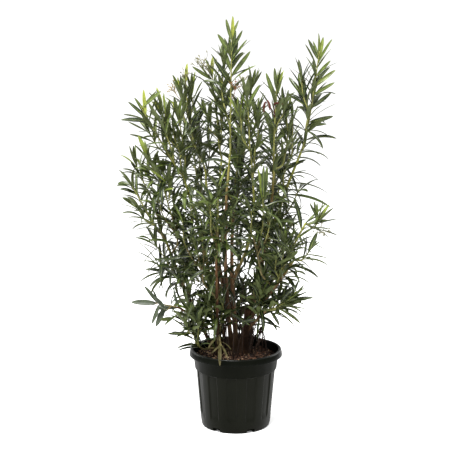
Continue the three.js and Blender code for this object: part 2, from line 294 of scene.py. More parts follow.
def by_height(tree, heights, lower, upper):
    """A colour that goes from lower to upper between two heights."""
    place = outputs_of(tree, "TexCoord", {})["Object"]
    height = outputs_of(tree, "SeparateXYZ", {"Vector": place})["Z"]
    span = {"Value": height, "From Min": heights[0], "From Max": heights[1]}
    rise = outputs_of(tree, "MapRange", span)["Result"]
    mix = tree.nodes.new("ShaderNodeMix")
    mix.data_type = "RGBA"
    feed(tree, mix, {"Factor": rise, MIX_FIRST: lower, MIX_SECOND: upper})
    return mix.outputs[MIX_RESULT]


SHADED_FOOT_HEIGHTS = (0.33, 0.58)  # between these heights the bark goes from painted shade, dark at the foot, to its own colour


def bark_material(name, low, high, patch, turns, roughness=0.72):
    """Bark that goes from one colour low down to another high up, with streaks of the patch colour. Near
    the soil it is darkened with painted shade.

    turns is the two heights between which the colour changes."""
    material, tree, shader = new_material(name)
    streaks = noise(tree, 42.0, detail=6.0, stretch=(1.0, 1.0, 0.22))
    upper = ramp(tree, streaks, [(0.3, shade(high, 0.7)), (0.7, shade(high, 1.25))])
    lower = ramp(tree, streaks, [(0.3, shade(low, 0.35)), (0.5, low), (0.72, patch)])
    # Painted shade: near the soil the bark is darkened to a small share of its own colours.
    painted_shade_stops = [(0.3, shade(low, 0.15)), (0.5, shade(low, 0.3)), (0.72, shade(patch, 0.35))]
    foot = ramp(tree, streaks, painted_shade_stops)
    feed(tree, shader, {
        "Base Color": by_height(tree, turns, by_height(tree, SHADED_FOOT_HEIGHTS, foot, lower), upper),
        "Roughness": roughness,
        "Specular IOR Level": 0.12,
        "Normal": bump(tree, noise(tree, 190.0, detail=5.0, stretch=(1.0, 1.0, 0.35)), 0.5, 0.0012),
    })
    return material


def plain_material(name, colour, roughness, scale=160.0, vary=0.3, relief=0.4, gloss=0.2):
    """A solid matter with fine mottling and relief, for stalks, chips and pods."""
    material, tree, shader = new_material(name)
    grain = noise(tree, scale, detail=5.0)
    feed(tree, shader, {
        "Base Color": mottled(tree, grain, colour, vary),
        "Roughness": roughness,
        "Specular IOR Level": gloss,
        "Normal": bump(tree, grain, relief, 0.0012),
    })
    return material


POT_BLACK, POT_DUST = (0.0014, 0.0017, 0.001), (0.0034, 0.0038, 0.0026)


def pot_material(name, roughness, gloss, cast):
    """Black moulded plastic with scuffs and a film of dust. cast is the tint of its shine."""
    material, tree, shader = new_material(name)
    film = noise(tree, 9.0, detail=6.0, stretch=(1.0, 1.0, 0.4))
    scuffs = noise(tree, 60.0, detail=8.0, roughness=0.7, stretch=(1.0, 1.0, 0.15))
    feed(tree, shader, {
        "Base Color": ramp(tree, film, [(0.35, POT_BLACK), (0.75, POT_DUST)]),
        "Roughness": ramp(tree, scuffs, [(0.35, roughness - 0.06), (0.7, roughness + 0.1)]),
        "Specular IOR Level": gloss,
        "Specular Tint": (*cast, 1.0),
        "Normal": bump(tree, noise(tree, 900.0, detail=2.0), 0.1, 0.0004),
    })
    return material


# Leaf greens from the youngest to the oldest. A leaf's tone is its place in this list.
LEAF_TONES = [
    leaf_material("leaf_young", (0.17, 0.195, 0.026), 0.4),
    leaf_material("leaf_fresh", (0.1, 0.128, 0.02), 0.38),
    leaf_material("leaf_middle", (0.05, 0.07, 0.0145), 0.36),
    leaf_material("leaf_dark", (0.024, 0.036, 0.0085), 0.34),
    leaf_material("leaf_deep", (0.011, 0.018, 0.005), 0.35),
    leaf_material("leaf_olive", (0.05, 0.043, 0.016), 0.6, gloss=0.12, vary=0.45),
    leaf_material("leaf_grey", (0.042, 0.054, 0.031), 0.5),
]
OLIVE, GREY = 5, 6
LEAF_UNDER = leaf_material("leaf_under", (0.056, 0.07, 0.023), 0.55, gloss=0.16)
LEAF_RIB = leaf_material("leaf_rib", (0.19, 0.22, 0.055), 0.45)
LEAF_MATERIALS = [*LEAF_TONES, LEAF_UNDER, LEAF_RIB]
UNDER_SLOT, RIB_SLOT = len(LEAF_TONES), len(LEAF_TONES) + 1

BROWN, TAN, OLIVE_GREEN = (0.1, 0.055, 0.026), (0.3, 0.19, 0.095), (0.2, 0.205, 0.045)
BARK = bark_material("bark_brown", BROWN, OLIVE_GREEN, TAN, (0.58, 0.78))
LONG_BARK = bark_material("bark_brown_higher", BROWN, OLIVE_GREEN, TAN, (0.88, 1.1))
TRUNK_BROWN, TRUNK_HIGH, TRUNK_TAN = (0.045, 0.021, 0.01), (0.09, 0.045, 0.019), (0.12, 0.06, 0.027)
TRUNK_BARK = bark_material("bark_trunk", TRUNK_BROWN, TRUNK_HIGH, TRUNK_TAN, (0.5, 0.8), 0.9)
SHOOT_GREEN = plain_material("shoot_green", (0.15, 0.15, 0.042), 0.55, vary=0.35, relief=0.2, gloss=0.2)
SHOOT_BROWN = plain_material("shoot_brown", (0.1, 0.08, 0.03), 0.6, gloss=0.2)
POD_RED = plain_material("pod_red", (0.052, 0.015, 0.009), 0.6, gloss=0.1)


# ---- Reading the solids ----

TINY = 1e-9


def triangles_of(name):
    obj = NODES[name]
    mesh = obj.data
    mesh.calc_loop_triangles()
    points = np.empty(len(mesh.vertices) * 3)
    mesh.vertices.foreach_get("co", points)
    corners = np.empty(len(mesh.loop_triangles) * 3, dtype=np.int32)
    mesh.loop_triangles.foreach_get("vertices", corners)
    matrix = np.array(obj.matrix_world)
    points = points.reshape(-1, 3) @ matrix[:3, :3].T + matrix[:3, 3]
    return points[corners].reshape(-1, 3, 3)


def normals_of(triangles):
    """Square to each triangle, and as long as twice its area."""
    return np.cross(triangles[:, 1] - triangles[:, 0], triangles[:, 2] - triangles[:, 0])


def cross_section(triangles, point, axis):
    """Area and middle of the cut that the plane through point, square to axis, makes in a solid."""
    height = (triangles - point) @ axis
    height = np.where(np.abs(height) < TINY, TINY, height)
    after = np.roll(height, -1, axis=1)
    crossing = height * after < 0
    cut = crossing.any(axis=1)
    if not cut.any():
        return 0.0, point
    share = height / np.where(crossing, height - after, 1.0)
    hits = triangles + share[..., None] * (np.roll(triangles, -1, axis=1) - triangles)
    pairs = hits[cut][crossing[cut]].reshape(-1, 2, 3)
    along = np.cross(axis, normals_of(triangles[cut]))
    ahead = np.sum((pairs[:, 1] - pairs[:, 0]) * along, axis=1) > 0
    first = np.where(ahead[:, None], pairs[:, 0], pairs[:, 1]) - point
    second = np.where(ahead[:, None], pairs[:, 1], pairs[:, 0]) - point
    slivers = np.cross(first, second) @ axis / 2
    area = slivers.sum()
    if area < TINY:
        return 0.0, point
    return area, point + ((first + second) * slivers[:, None]).sum(axis=0) / (3 * area)


def slices(triangles, start, end, fractions):
    """Middles and mean radii of the cuts across a solid from start to end."""
    axis = unit(end - start)
    middles, radii = [], []
    for fraction in fractions:
        area, middle = cross_section(triangles, start + (end - start) * fraction, axis)
        if area > 0:
            middles.append(middle)
            radii.append(math.sqrt(area / math.pi))
    return np.array(middles), np.array(radii)


def stretch_to_ends(points, radii, low, high):
    """Carries a level-cut centreline on in a straight line to the heights of the limb's two ends."""
    def beyond(inner, outer, height):
        step = (outer - inner) / (outer[2] - inner[2])
        return outer + step * (height - outer[2])

    ends = beyond(points[1], points[0], low), beyond(points[-2], points[-1], high)
    return np.vstack([ends[0], points, ends[1]]), np.concatenate([radii[:1], radii, radii[-1:]])


def read_limb(name):
    """A limb's centreline from foot to top, and its radii."""
    triangles = triangles_of(name)
    low, high = triangles[..., 2].min(), triangles[..., 2].max()
    foot, top = np.array([0.0, 0.0, low]), np.array([0.0, 0.0, high])
    points, radii = slices(triangles, foot, top, np.linspace(0.05, 0.93, 9))
    slope = unit(np.gradient(points, axis=0))[:, 2]
    return stretch_to_ends(points, radii * np.sqrt(slope), low, high)


def read_mass(name):
    """A mass's axis from root to tip, and its radii."""
    triangles = triangles_of(name)
    corners = triangles.reshape(-1, 3)
    middles = triangles.mean(axis=1)
    areas = np.linalg.norm(normals_of(triangles), axis=1)
    centre = np.average(middles, axis=0, weights=areas)
    spread = np.cov((middles - centre).T, aweights=areas)
    long_axis = np.linalg.eigh(spread)[1][:, -1]
    if (long_axis[2] < 0) != (name in HANGING):
        long_axis = -long_axis
    reach = (corners - centre) @ long_axis
    root, tip = corners[reach.argmin()], corners[reach.argmax()]
    points, radii = slices(triangles, root, tip, np.linspace(0.1, 0.9, 7))
    return np.vstack([root, points, tip]), np.concatenate([[0.0], radii, [0.0]])


HANGING = {"foliage_front_rim", "foliage_low_left_hanging"}
DULL_STEMS = HANGING | {"foliage_low_left"}
LIMB_NAMES = [name for name in NODES if name.startswith(("trunk", "cane_", "bough_"))]
MASS_NAMES = [name for name in NODES if name.startswith("foliage_")]
LIMBS = {name: read_limb(name) for name in LIMB_NAMES}
MASSES = {name: read_mass(name) for name in MASS_NAMES}


# ---- Growing the shoots ----

TIP_LEAF = 0.07  # how far a mass reaches past its leader's end: the tip leaves fill that
JOIN_REACH = 0.06  # a mass this close to a limb's end is that limb's own
SHOOT_SPACING = 0.008
SPIRE_HEIGHT = 1.25  # masses that end above this are open spires
THICKET_HEIGHT = 0.75  # and those that end below this are thickets
SHOOT_RADIUS, SHOOT_END_RADIUS = 0.0042, 0.002
LEAST_CLIMB = 0.16  # a shoot prefers to leave its limb at least this far below the mass's root
SIDE_SHOOTS = [0.03, 0.045, 0.06, 0.075, 0.095], [0, 1, 2, 3, 4]  # by a mass's girth, how many
SLIMMING = [0.8, 1.1], [1.0, 0.78]  # canes are slimmer high up than their solids: by height, the share


def nearest_limb_point(root):
    """The limb point that a shoot for this root leaves from: near, and best a little lower."""
    def cost(point):
        too_high = max(0.0, point[2] - (root[2] - LEAST_CLIMB))
        return np.linalg.norm(point - root) + 0.8 * too_high

    choices = []
    for points, radii in LIMBS.values():
        fine, girths = resample(points, radii, 0.02)
        for index in range(1, len(fine)):
            choices.append((cost(fine[index]), index, fine, girths))
    _, index, fine, girths = min(choices, key=lambda choice: choice[0])
    return fine[index], unit(fine[index] - fine[index - 1]), girths[index]


def curved_twig(start, way_out, end, way_in):
    """A smooth curve that leaves start and reaches end in the given directions."""
    reach = np.linalg.norm(end - start)
    t = np.linspace(0, 1, 8)[:, None]
    a, b = start + way_out * reach * 0.45, end - way_in * reach * 0.45
    return (1 - t) ** 3 * start + 3 * (1 - t) ** 2 * t * a + 3 * (1 - t) * t**2 * b + t**3 * end


def traits_of(name):
    """How a mass is grown: its own traits, and ordinary ones for the rest."""
    return {**ORDINARY, **TRAITS.get(name, {})}


def leader_of(name):
    """The main shoot of a mass: its path, its radii and the limb that it carries on from, if any."""
    axis, girths = MASSES[name]
    length = arc_lengths(axis)[-1]
    fine, _ = resample(axis, girths, SHOOT_SPACING)
    past = min(traits_of(name)["past"] / length, 0.6)
    fine = fine[:max(4, int(len(fine) * (1 - past)))]
    gaps = {
        limb: np.linalg.norm(points[-1] - axis[0])
        for limb, (points, _) in LIMBS.items() if limb != "trunk"
    }
    limb = min(gaps, key=gaps.get)
    if gaps[limb] < JOIN_REACH and name not in HANGING:
        points, radii = LIMBS[limb]
        path = np.vstack([points[-1:], fine[4:-3:6], fine[-1:]])
        path = smoothed(path, SHOOT_SPACING, before=points[-2])
        start_radius = radii[-1] * np.interp(points[-1][2], *SLIMMING)
        return path, np.linspace(start_radius, SHOOT_END_RADIUS, len(path)), limb
    start, direction, girth = nearest_limb_point(axis[0])
    away = unit(fine[2] - fine[0])
    twig = curved_twig(start, unit(direction + 0.5 * unit(axis[0] - start)), fine[0], away)
    path = np.vstack([twig, fine[2:-1:2], fine[-1:]])
    path = smoothed(path, SHOOT_SPACING)
    return path, np.linspace(min(SHOOT_RADIUS, 0.7 * girth), SHOOT_END_RADIUS, len(path)), None


def side_shoots(name, leader, rng):
    """Shoots that leave a mass's leader, swing out and run up beside it."""
    axis, girths = MASSES[name]
    girth = girths.max()
    count = int(round(np.interp(girth, *SIDE_SHOOTS)))
    if axis[-1][2] > SPIRE_HEIGHT:
        count = max(0, count - 1)
    if axis[-1][2] < THICKET_HEIGHT and name not in HANGING:
        count += 2
    traits = traits_of(name)
    count = traits.get("shoots", count + traits["more"])
    path, radii = leader
    _, across, along = frames_along(path)
    inside = np.argmin(np.linalg.norm(path - axis[0], axis=1))
    span = len(path) - inside
    turn = rng.uniform(0, 2 * np.pi)
    shoots = []
    for _ in range(count):
        turn += GOLDEN_TURN if count > 3 else 2 * np.pi / count
        first = max(2, inside + int(span * rng.uniform(-0.1, 0.45)))
        last = inside + int(span * rng.uniform(0.5, 0.9))
        if last - first < 6:
            continue
        heading = turn + rng.normal(0, 0.25)
        out = np.cos(heading) * across[first:last] + np.sin(heading) * along[first:last]
        share = np.linspace(0, 1, last - first)
        swing = girth * rng.uniform(0.45, 0.68) * smoothstep(share / 0.75)
        swing = swing + 0.004 * np.sin(9 * share + turn)
        shoot = path[first:last] + out * (swing * np.minimum(1, share * 6))[:, None]
        start = min(SHOOT_RADIUS, 0.9 * radii[first])
        shoots.append((shoot, np.linspace(start, SHOOT_END_RADIUS, len(shoot))))
    return shoots


# ---- Leaves ----

# Along a leaf: fractions of its length, closer together where the outline turns.
STATIONS = np.array([0.0, 0.05, 0.13, 0.24, 0.36, 0.49, 0.62, 0.74, 0.85, 0.94])
PETIOLE_HALF_WIDTH = 0.0011
LEAF_THICKNESS = 0.0009
BLADE_FOLD = math.radians(22)
WIDEST_LEAF = 0.0185
WHORL_GAPS = [0.014, 0.026, 0.034, 0.038, 0.041, 0.043, 0.044]  # between whorls, from a shoot's tip down
BARE_GAP = 0.03  # how much of a bare tip counts as a whorl
LEAVES_LEFT = [0.0, 0.45, 1.0], [1.0, 0.95, 0.25]  # along a shoot's leafy stretch, the share not fallen
# By a leaf's age, in whorls from its shoot's tip: its share of the full length, its angle to the shoot
# and its bend in degrees, and its tone.
LENGTH_BY_AGE = [0, 1, 2, 3, 7], [0.6, 0.7, 0.8, 0.88, 1.0]
SPREAD_BY_AGE = [0, 1, 2, 3, 4, 6, 9, 13, 20], [7, 20, 31, 40, 47, 58, 70, 80, 88]
BEND_BY_AGE = [0, 2, 4, 6, 10, 16], [0, 6, 24, 48, 78, 96]
TONE_BY_AGE = [0, 1.5, 3, 6, 10, 16], [0.0, 0.8, 1.8, 2.7, 3.3, 3.8]


def outline(t):
    """Share of a leaf's half width at a fraction of its length: pointed at both ends."""
    peak = 0.48**0.6 * 0.52**0.65
    return t**0.6 * (1 - t) ** 0.65 / peak


def whorls(path, radii, bare, leafy, closeness, rng):
    """Places where whorls of three leaves stand on a shoot, from bare below its tip down."""
    s = arc_lengths(path)
    tangents = unit(np.gradient(path, axis=0))
    _, across, along = frames_along(path)
    turn = rng.uniform(0, 2 * np.pi)
    rows = []
    distance, age = bare, int(round(bare / BARE_GAP))
    while distance < min(leafy, s[-1] - 0.004):
        at = s[-1] - distance
        index = min(len(path) - 1, np.searchsorted(s, at))
        chance = np.interp(distance / leafy, *LEAVES_LEFT)
        for leaf in range(2 if age == 0 else 3):
            if rng.random() > chance:
                continue
            heading = turn + leaf * 2 * np.pi / 3 + rng.normal(0, 0.16)
            out = np.cos(heading) * across[index] + np.sin(heading) * along[index]
            rows.append((path[index], tangents[index], out, radii[index], age))
        gap = WHORL_GAPS[min(age, len(WHORL_GAPS) - 1)]
        distance += gap * closeness * rng.uniform(0.85, 1.2)
        turn += np.pi / 3 + rng.normal(0, 0.06)
        age += 1
    return rows


def leaves_on(rows, size, width, droop, turn, tone_shift, head_start, rng):
    """Sizes, angles and tones of the leaves at these places, as arrays.

    head_start is how many whorls older a shoot's leaves are than their place from its tip."""
    count = len(rows)
    base, tangent, out, stem = (np.array([row[k] for row in rows]) for k in range(4))
    age = np.array([row[4] for row in rows], dtype=float) + rng.normal(0, 0.4, count) + head_start
    length = size * np.interp(age, *LENGTH_BY_AGE) * rng.uniform(0.82, 1.12, count)
    spread = np.interp(age, *SPREAD_BY_AGE)
    spread = spread + rng.normal(0, 1, count) * np.interp(age, [0, 6], [6, 13])
    bend = np.interp(age, *BEND_BY_AGE) * rng.uniform(0.3, 1.5, count) * droop
    tone = np.interp(age, *TONE_BY_AGE) + tone_shift
    young = np.interp(age, [0, 4], [1.25, 1.0])
    slim = 0.1 + 0.065 * rng.random(count) ** 1.7
    return {
        "base": base, "tangent": tangent, "out": out, "stem": stem,
        "facing": 0.4 * tangent + 0.6 * UP - 0.15 * out,
        "length": length,
        "width": np.minimum(length * slim * young * width, WIDEST_LEAF),
        "spread": np.radians(np.clip(spread, 3, 100)),
        "bend": np.radians(bend),
        "roll": rng.normal(0, turn, count),
        "twist": rng.normal(0, 0.45, count),
        "sway": rng.normal(0, 0.05, count),
        "tone": tone + rng.normal(0, 0.5, count),
    }


def blade_frames(leaves):
    """The leaf's line, its side way and its upper way at every station."""
    cos, sin = np.cos(leaves["spread"])[:, None], np.sin(leaves["spread"])[:, None]
    forward = unit(cos * leaves["tangent"] + sin * leaves["out"])
    upper = square_to(leaves["facing"], forward)
    side = np.cross(forward, upper)
    bend = leaves["bend"][:, None] * STATIONS[None, :] ** 1.35
    sway = leaves["sway"][:, None] * 2 * STATIONS[None, :]
    forward_at = forward[:, None] * np.cos(bend)[..., None] - upper[:, None] * np.sin(bend)[..., None]
    upper_at = upper[:, None] * np.cos(bend)[..., None] + forward[:, None] * np.sin(bend)[..., None]
    side_at = np.repeat(side[:, None], len(STATIONS), axis=1)
    forward_at = unit(forward_at + sway[..., None] * side_at)
    steps = np.diff(STATIONS)[None, :, None] * leaves["length"][:, None, None]
    walk = np.cumsum((forward_at[:, 1:] + forward_at[:, :-1]) / 2 * steps, axis=1)
    foot = leaves["base"] + leaves["out"] * leaves["stem"][:, None] * 0.7
    line = np.concatenate([foot[:, None], foot[:, None] + walk], axis=1)
    tip = line[:, -1] + forward_at[:, -1] * (1 - STATIONS[-1]) * leaves["length"][:, None]
    turn = (leaves["roll"][:, None] + leaves["twist"][:, None] * STATIONS[None, :])[..., None]
    side_turned = side_at * np.cos(turn) + upper_at * np.sin(turn)
    upper_turned = upper_at * np.cos(turn) - side_at * np.sin(turn)
    return line, tip, side_turned, upper_turned


CHORD_SHARE = 0.96  # of a leaf's length, the straight way from foot to tip
CHORD_LAG = 0.43  # the chord of a bent leaf lies under its first direction by this share of the bend
STRAIGHT = math.radians(25)  # leaves that bend less than this show their face


def set_leaves(places, path, radii, width, tone_shift, rng):
    """Leaves whose tips stand at given places, in rows of SINGLE_LEAVES. Each leaves the shoot at the
    point that is its own length away. Straight ones show their face, bent ones their edge."""
    count = len(places)
    tip, (length, bend) = np.array(places)[:, :3], np.array(places)[:, 3:].T
    bend = np.radians(bend)
    straight = (bend < STRAIGHT)[:, None]
    apart = np.linalg.norm(tip[:, None] - path[None], axis=2)
    above = np.clip(path[None, :, 2] - tip[:, None, 2] - 0.3 * length[:, None] * ~straight, 0, None)
    back = 0.1 * (arc_lengths(path)[-1] - arc_lengths(path))[None]
    misfit = np.abs(apart - CHORD_SHARE * length[:, None]) + above + back
    index = np.clip(misfit.argmin(axis=1), 1, len(path) - 2)
    base, tangent = path[index], unit(path[index + 1] - path[index - 1])
    chord = unit(tip - base)
    lift = CHORD_LAG * bend[:, None]
    forward = unit(chord * np.cos(lift) + square_to(UP + 0 * chord, chord) * np.sin(lift))
    out = square_to(forward, tangent)
    facing = np.where(straight, np.array([0.0, -0.8, 0.5]) + rng.normal(0, 0.3, (count, 3)), UP)
    tone = np.linspace(0.3, 2.3, count) + tone_shift + 0.6 * (bend > 0.4)
    return {
        "base": base, "tangent": tangent, "out": out, "stem": radii[index],
        "facing": facing,
        "length": np.linalg.norm(tip - base, axis=1) * (1 + 0.04 * bend**2),
        "width": length * rng.uniform(0.14, 0.18, count) * width,
        "spread": np.arccos(np.clip(np.sum(forward * tangent, axis=1), -1, 1)),
        "bend": bend,
        "roll": rng.choice([-1, 1], count) * rng.uniform(0.15, 0.45, count),
        "twist": rng.normal(0, 0.2, count),
        "sway": rng.normal(0, 0.02, count),
        "tone": tone + rng.normal(0, 0.7, count),
        "own": np.zeros(count, dtype=bool),
    }


# How far leaf tips may stand from a mass's axis: its girth times the first, plus the second.
GIRTH_SLACK, REACH_MARGIN = 1.18, 0.032
BOX_MARGIN = 0.018  # how far they may stand off the CAD box
SHORTENING = 0.86  # share of its length that is left to a leaf outside, each time round


def rein_in(leaves, axis, girths):
    """Closes up or shortens the leaves that stand too far off their mass or off the CAD box."""
    line_along, girth_along = resample(axis, girths * GIRTH_SLACK + REACH_MARGIN, 0.012)
    low, high = np.array(CAD_BOX[0]) - BOX_MARGIN, np.array(CAD_BOX[1]) + BOX_MARGIN
    for _ in range(4):
        _, tip, _, _ = blade_frames(leaves)
        gap = np.linalg.norm(tip[:, None] - line_along[None], axis=2)
        nearest = gap.argmin(axis=1)
        excess = np.clip(gap.min(axis=1) - girth_along[nearest], 0, None)
        in_mass = leaves["own"] > 0
        closing = 1 - np.clip(excess / leaves["length"], 0, 0.3) * in_mass
        leaves["spread"] = leaves["spread"] * closing
        leaves["bend"] = leaves["bend"] * (0.5 + 0.5 * closing)
        leaves["length"] = leaves["length"] * (1 - 0.25 * (1 - closing))
        outside = ((tip < low) | (tip > high)).any(axis=1)
        leaves["length"] = np.where(outside, leaves["length"] * SHORTENING, leaves["length"])
    return leaves


# Columns of points round a leaf's section: their number, the rib's, and the underside's first.
COLUMNS, RIB_COLUMN, UNDER_FROM = 7, 2, 5
RIB_HALF_WIDTH, RIB_TIP_HALF_WIDTH = 0.0007, 0.0003
# Half way across, at BELLY of the half width, a blade bulges up. Its edge rolls down.
BELLY, BELLY_RISE, EDGE_ROLL = 0.55, 0.0004, 0.0006


def leaf_section(width):
    """The columns of points round every leaf's section, as (across, up) at every station."""
    half = np.maximum(outline(STATIONS) * width[:, None] / 2, PETIOLE_HALF_WIDTH)
    rib = np.maximum(RIB_HALF_WIDTH * (1 - STATIONS), RIB_TIP_HALF_WIDTH) + 0 * half
    keel = np.where(STATIONS < 0.06, -2 * PETIOLE_HALF_WIDTH, -LEAF_THICKNESS * (1 - 0.6 * STATIONS))
    lift = math.tan(BLADE_FOLD)
    right = [
        (rib, 0 * rib),
        (BELLY * half, BELLY * half * lift + BELLY_RISE),
        (half, half * lift - EDGE_ROLL),
    ]
    return [*((-across, up) for across, up in reversed(right)), *right, (0 * half, keel + 0 * half)]


def leaf_mesh(leaves):
    """Vertices, quads, triangles and their material numbers for a set of leaves."""
    line, tip, side, upper = blade_frames(leaves)
    count, stations = line.shape[:2]
    section = leaf_section(leaves["width"])
    rings = [line + side * across[..., None] + upper * up[..., None] for across, up in section]
    rings = np.stack(rings, axis=2)
    vertices = np.concatenate([rings.reshape(count, -1, 3), tip[:, None]], axis=1).reshape(-1, 3)
    quads = rings_to_faces(stations, COLUMNS)
    last, tip_point = (stations - 1) * COLUMNS, stations * COLUMNS
    tip_faces = [(last + c, last + (c + 1) % COLUMNS, tip_point) for c in range(COLUMNS)]
    foot_faces = [(c + 1, c, COLUMNS - 1) for c in range(COLUMNS - 2)]
    triangles = np.array(tip_faces + foot_faces)
    quad_column = np.tile(np.arange(COLUMNS), stations - 1)
    triangle_column = np.array([*range(COLUMNS), *[UNDER_FROM] * len(foot_faces)])
    first = (np.arange(count) * (tip_point + 1))[:, None, None]
    tone = np.clip(np.round(leaves["tone"]), 0, 4).astype(int)
    tone = np.where(leaves["kind"] > 0, leaves["kind"], tone)

    def paint(column):
        """Material numbers: the rib strip, the underside, or the leaf's own tone."""
        own = np.repeat(tone[:, None], len(column), axis=1)
        own[:, column == RIB_COLUMN] = np.where(tone >= OLIVE, tone, RIB_SLOT)[:, None]
        own[:, column >= UNDER_FROM] = np.where(tone >= OLIVE, tone, UNDER_SLOT)[:, None]
        return own.ravel()

    return (
        vertices,
        (quads[None] + first).reshape(-1, 4),
        (triangles[None] + first).reshape(-1, 3),
        paint(quad_column),
        paint(triangle_column),
    )


# ---- Foliage ----

# How a mass differs from the rest. tone shifts the greens, minus is younger. keep is the share of
# its leaves that stay. bare is how far from the leader's tip the first whorl stands. past is how far
# the mass reaches past its leader. age is how many whorls older its leaves are than their place.
# more is how many side shoots it has beyond those for its girth, and shoots is their whole number.
# kind is a matter for all its leaves, or 0 for the greens.
ORDINARY = {
    "width": 1.0, "droop": 1.0, "tone": 0.0, "kind": 0, "keep": 1.0, "bare": 0.0, "more": 0,
    "past": TIP_LEAF,
}
TRAITS = {
    "foliage_top": {"tone": -0.2, "bare": 0.1},
    "foliage_tall_right": {"tone": 0.35, "bare": 0.07},
    "foliage_left_top": {"tone": -0.7, "bare": 0.07},
    "foliage_left_second": {"tone": -0.7, "more": 1},
    "foliage_left_back_spire": {"bare": 0.07, "more": 1, "width": 1.1},
    "foliage_left_third": {"tone": -0.6, "more": 1},
    "foliage_far_left_tip": {"droop": 1.3, "age": 6.5, "keep": 0.8, "width": 1.0, "tone": -0.7},
    "foliage_far_left_upper": {"droop": 1.2, "age": 4.0, "tone": -1.2, "keep": 0.85, "width": 1.05},
    "foliage_far_left_inner": {
        "past": 0.035, "more": 2, "droop": 1.1, "age": 4.5, "tone": -0.8, "keep": 0.88, "width": 1.25,
    },
    "foliage_left_skirt": {"tone": 0.6},
    "foliage_left_flank": {"more": 1, "size": 0.135, "droop": 1.5, "age": 6.5, "width": 0.95},
    "foliage_tall_right_side": {"tone": 1.2, "width": 1.15, "age": 2.0},
    "foliage_right_shoulder": {"keep": 0.3, "past": 0.2, "shoots": 0},
    "foliage_right_spire": {"keep": 0.58},
    "foliage_right_out": {"bare": 0.03, "age": 1.5, "tone": 1.0},
    "foliage_low_right": {"tone": 0.7},
    "foliage_front_rim": {"size": 0.09, "width": 0.65, "kind": OLIVE, "keep": 0.0, "past": 0.1},
    "foliage_low_left": {
        "size": 0.09, "width": 1.4, "keep": 0.25, "kind": GREY, "past": 0.09, "bare": 0.04,
    },
    "foliage_low_left_hanging": {"size": 0.1, "width": 1.2, "keep": 0.4, "tone": 0.6},
    "foliage_core": {"tone": 0.9, "more": 1},
    "foliage_centre_top": {"more": 1},
    "foliage_back_top": {"more": 1, "tone": 0.4},
    "foliage_left_spire": {"more": 2, "tone": 0.3},
    "foliage_right_inner": {"keep": 0.85},
    "foliage_back_right_low": {"keep": 0.7},
    "foliage_back_middle": {"more": 1, "tone": 0.6, "width": 1.25},
    "foliage_back_skirt": {"more": 2, "tone": 0.6},
    "foliage_front_right": {"tone": 0.5},
    "foliage_right_inner_top": {"tone": 0.5},
}

